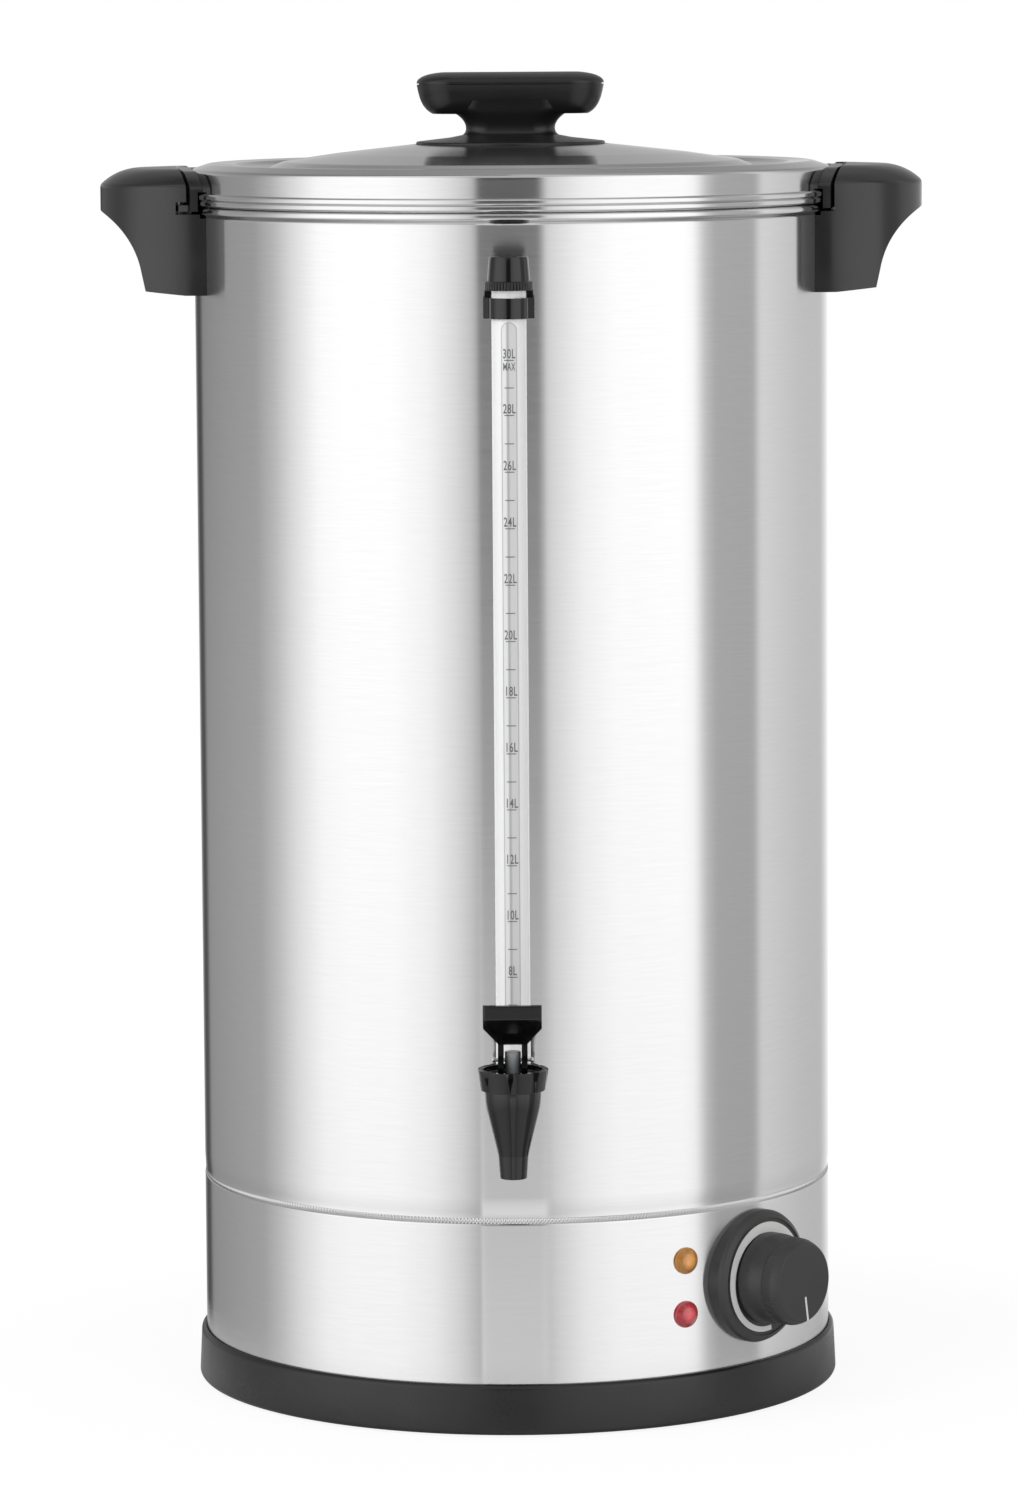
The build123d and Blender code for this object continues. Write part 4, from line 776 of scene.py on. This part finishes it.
def knob_band():
    """Fine slanted knurl round the knob's front half, laid over the turned knob."""
    out, across, up, centre = dial_frame()
    start, end = KNURL_SPAN
    steps = KNOB_RIDGES * KNOB_STEPS
    clear, ridge = 0.00004, 0.00042

    def radius(height):
        """Outside of the knob below the knurl."""
        share = (height - KNOB_SPAN[0]) / (KNOB_SPAN[1] - KNOB_SPAN[0])
        return 0.02092 - 0.0003 * share

    heights = [start + (end - start) * k / KNOB_ROWS for k in range(KNOB_ROWS + 1)]
    profile = [(radius(start) - 0.0004, start - 0.0002)]
    profile += [(radius(height), height) for height in heights]
    profile += [(radius(end) - 0.0004, end + 0.0002)]

    def shape(r, h, i):
        share = (h - start) / (end - start)
        angle = TURN * i / steps
        if start <= h <= end:
            fade = min(1.0, 6 * share, 6 * (1 - share))
            r += clear + ridge * fade * knurl_wave(i / KNOB_STEPS + KNURL_SLANT * share)
        point = centre + out * h + across * (r * math.cos(angle)) + up * (r * math.sin(angle))
        return point[:]

    band = ring_mesh("knob_knurl", profile, steps, shape, M["dial"], closed=False)
    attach(band, "dial")


# ---------------------------------------------------------------- studio

FLOOR_RADIUS = 1.5
FLOOR_DROP = 0.0006         # the floor lies just below the pads
FLOOR_SIDES = 96
FADE_SPAN = (0.24, 0.55)    # distances over which the floor goes over into plain white
OPEN_SPAN = (0.2, 0.27)     # distances over which reflections go through the floor to the studio
FLOOR_GLOW = 1.05
STUDIO_STRENGTH = 1.5

# Brightness of the studio by direction: degrees from the front towards +X, share of the boxes.
STUDIO = [
    (-180, 0.50), (-168, 0.20), (-164, 0.06), (-157, 0.06), (-152, 0.24), (-132, 0.30),
    (-106, 0.38), (-96, 0.54), (-86, 0.76), (-74, 0.95), (-62, 1.00), (-44, 1.00), (-30, 0.90),
    (-20, 0.70), (-15, 0.55), (-12.8, 0.50), (-12.0, 0.00), (10.4, 0.00), (12.8, 0.62), (26, 0.88),
    (38, 0.98), (64, 1.00), (69, 0.94), (74, 0.52), (79, 0.38), (98, 0.36), (102, 0.62),
    (130, 0.50), (152, 0.44), (162, 0.60), (180, 0.80),
]

# The dark gap between the two front boxes: degrees at which it opens and closes.
GAP_LEFT = (-12.8, -12.0)
GAP_RIGHT = (10.4, 12.8)

# Brightness behind the object by height of the direction.
BEHIND = [
    (0.0, 0.36), (0.06, 0.38), (0.13, 0.33), (0.26, 0.3), (0.4, 0.245), (0.6, 0.215), (0.9, 0.4),
]


def floor():
    """White floor that keeps a soft shadow and meets the white background without an edge."""
    s = Shader("floor_white", Roughness=0.6)
    s.bsdf.inputs["Base Color"].default_value = grey(0.86)
    away = s.node("ShaderNodeVectorMath", s.place(), operation="LENGTH").outputs["Value"]
    glow = s.node("ShaderNodeEmission", Strength=FLOOR_GLOW)
    fade = s.times(s.unlit(), s.range(away, 0.86, 1.0, *FADE_SPAN))
    plain = s.node("ShaderNodeMixShader", fade, s.bsdf.outputs[0], glow.outputs[0])
    clear = s.node("ShaderNodeBsdfTransparent")
    glossy = s.node("ShaderNodeLightPath").outputs["Is Glossy Ray"]
    open_part = s.times(glossy, s.range(away, 0.0, 1.0, *OPEN_SPAN))
    mixed = s.node("ShaderNodeMixShader", open_part, plain.outputs[0], clear.outputs[0])
    s.tree.links.new(mixed.outputs[0], s.tree.nodes["Material Output"].inputs["Surface"])
    angles = [TURN * i / FLOOR_SIDES for i in range(FLOOR_SIDES)]
    verts = [(FLOOR_RADIUS * math.cos(a), FLOOR_RADIUS * math.sin(a), -FLOOR_DROP) for a in angles]
    new_object("floor", verts, [tuple(range(FLOOR_SIDES))], s.material, smooth=False)


def world():
    """Studio of soft boxes round the object, seen by light and gloss; the camera sees white."""
    data = bpy.data.worlds.new("studio")
    bpy.context.scene.world = data
    data.use_nodes = True
    data.node_tree.nodes.clear()
    s = Graph(data.node_tree)
    direction = s.node("ShaderNodeTexCoord").outputs["Generated"]
    x, y, height = s.node("ShaderNodeSeparateXYZ", direction).outputs
    turn = s.math("ARCTAN2", x, s.times(y, -1.0))

    def by_turn(low, high, start, end):
        """Range between two directions in degrees."""
        return s.range(turn, low, high, math.radians(start), math.radians(end))

    def by_height(low, high, start, end):
        return s.range(height, low, high, start, end)

    round_it = s.range(turn, 0.0, 1.0, -math.pi, math.pi)
    boxes = s.ramp(round_it, grey_stops([((angle + 180) / 360, v) for angle, v in STUDIO]))

    gap = s.times(by_turn(1.0, 0.0, *GAP_RIGHT), by_turn(0.0, 1.0, *GAP_LEFT))
    low_shine = s.times(s.math("POWER", by_height(0.0, 1.0, 0.0, -0.22), 3.2), 0.96)
    high_shine = by_height(0.06, 0.7, 0.35, 0.7)
    boxes = s.add(boxes, s.times(gap, s.add(low_shine, high_shine)))

    left_shade = s.times(by_turn(0.28, 0.0, -95, -72), by_height(0.0, 1.0, -0.12, -0.03))
    boxes = s.times(boxes, s.math("SUBTRACT", 1.0, left_shade))
    boxes = s.times(boxes, by_height(1.0, 0.52, -0.11, -0.46))
    boxes = s.times(boxes, by_height(1.0, 0.6, 0.45, 0.7))

    behind = s.times(s.range(y, 0.0, 1.0, 0.3, 0.7), by_height(0.0, 1.0, -0.005, 0.04))
    whole = s.mix(behind, boxes, s.ramp(height, grey_stops(BEHIND)))
    light = s.node("ShaderNodeBackground", whole, STUDIO_STRENGTH)
    white = s.node("ShaderNodeBackground", grey(1), 1.0)
    mixed = s.node("ShaderNodeMixShader", s.unlit(), light.outputs[0], white.outputs[0])
    surface = s.node("ShaderNodeOutputWorld").inputs["Surface"]
    s.tree.links.new(mixed.outputs[0], surface)


def area_light(name, place, target, size, power):
    """Square light that no reflection shows."""
    data = bpy.data.lights.new(name, "AREA")
    data.shape = "SQUARE"
    data.size = size
    data.energy = power
    obj = bpy.data.objects.new(name, data)
    bpy.context.scene.collection.objects.link(obj)
    obj.location = place
    aim = Vector(target) - Vector(place)
    obj.rotation_euler = aim.to_track_quat("-Z", "Y").to_euler()
    obj.visible_glossy = False


# ---------------------------------------------------------------- build

bpy.context.scene.view_settings.view_transform = "Standard"
place_camera()
make_materials()
paint_nodes()
weld_seam()
lid_sheet()
wall_sheet()
skirt_sheet()
base_sheet()
coil("tap_spring", "stem")
coil("reset_spring", "reset")
strip_marks()
strip_edge()
tube_cap_mesh()
knob_band()
floor()
world()
area_light("key", place=(-1.2, -1.6, 2.0), target=(0, 0, 0.3), size=1.0, power=20)
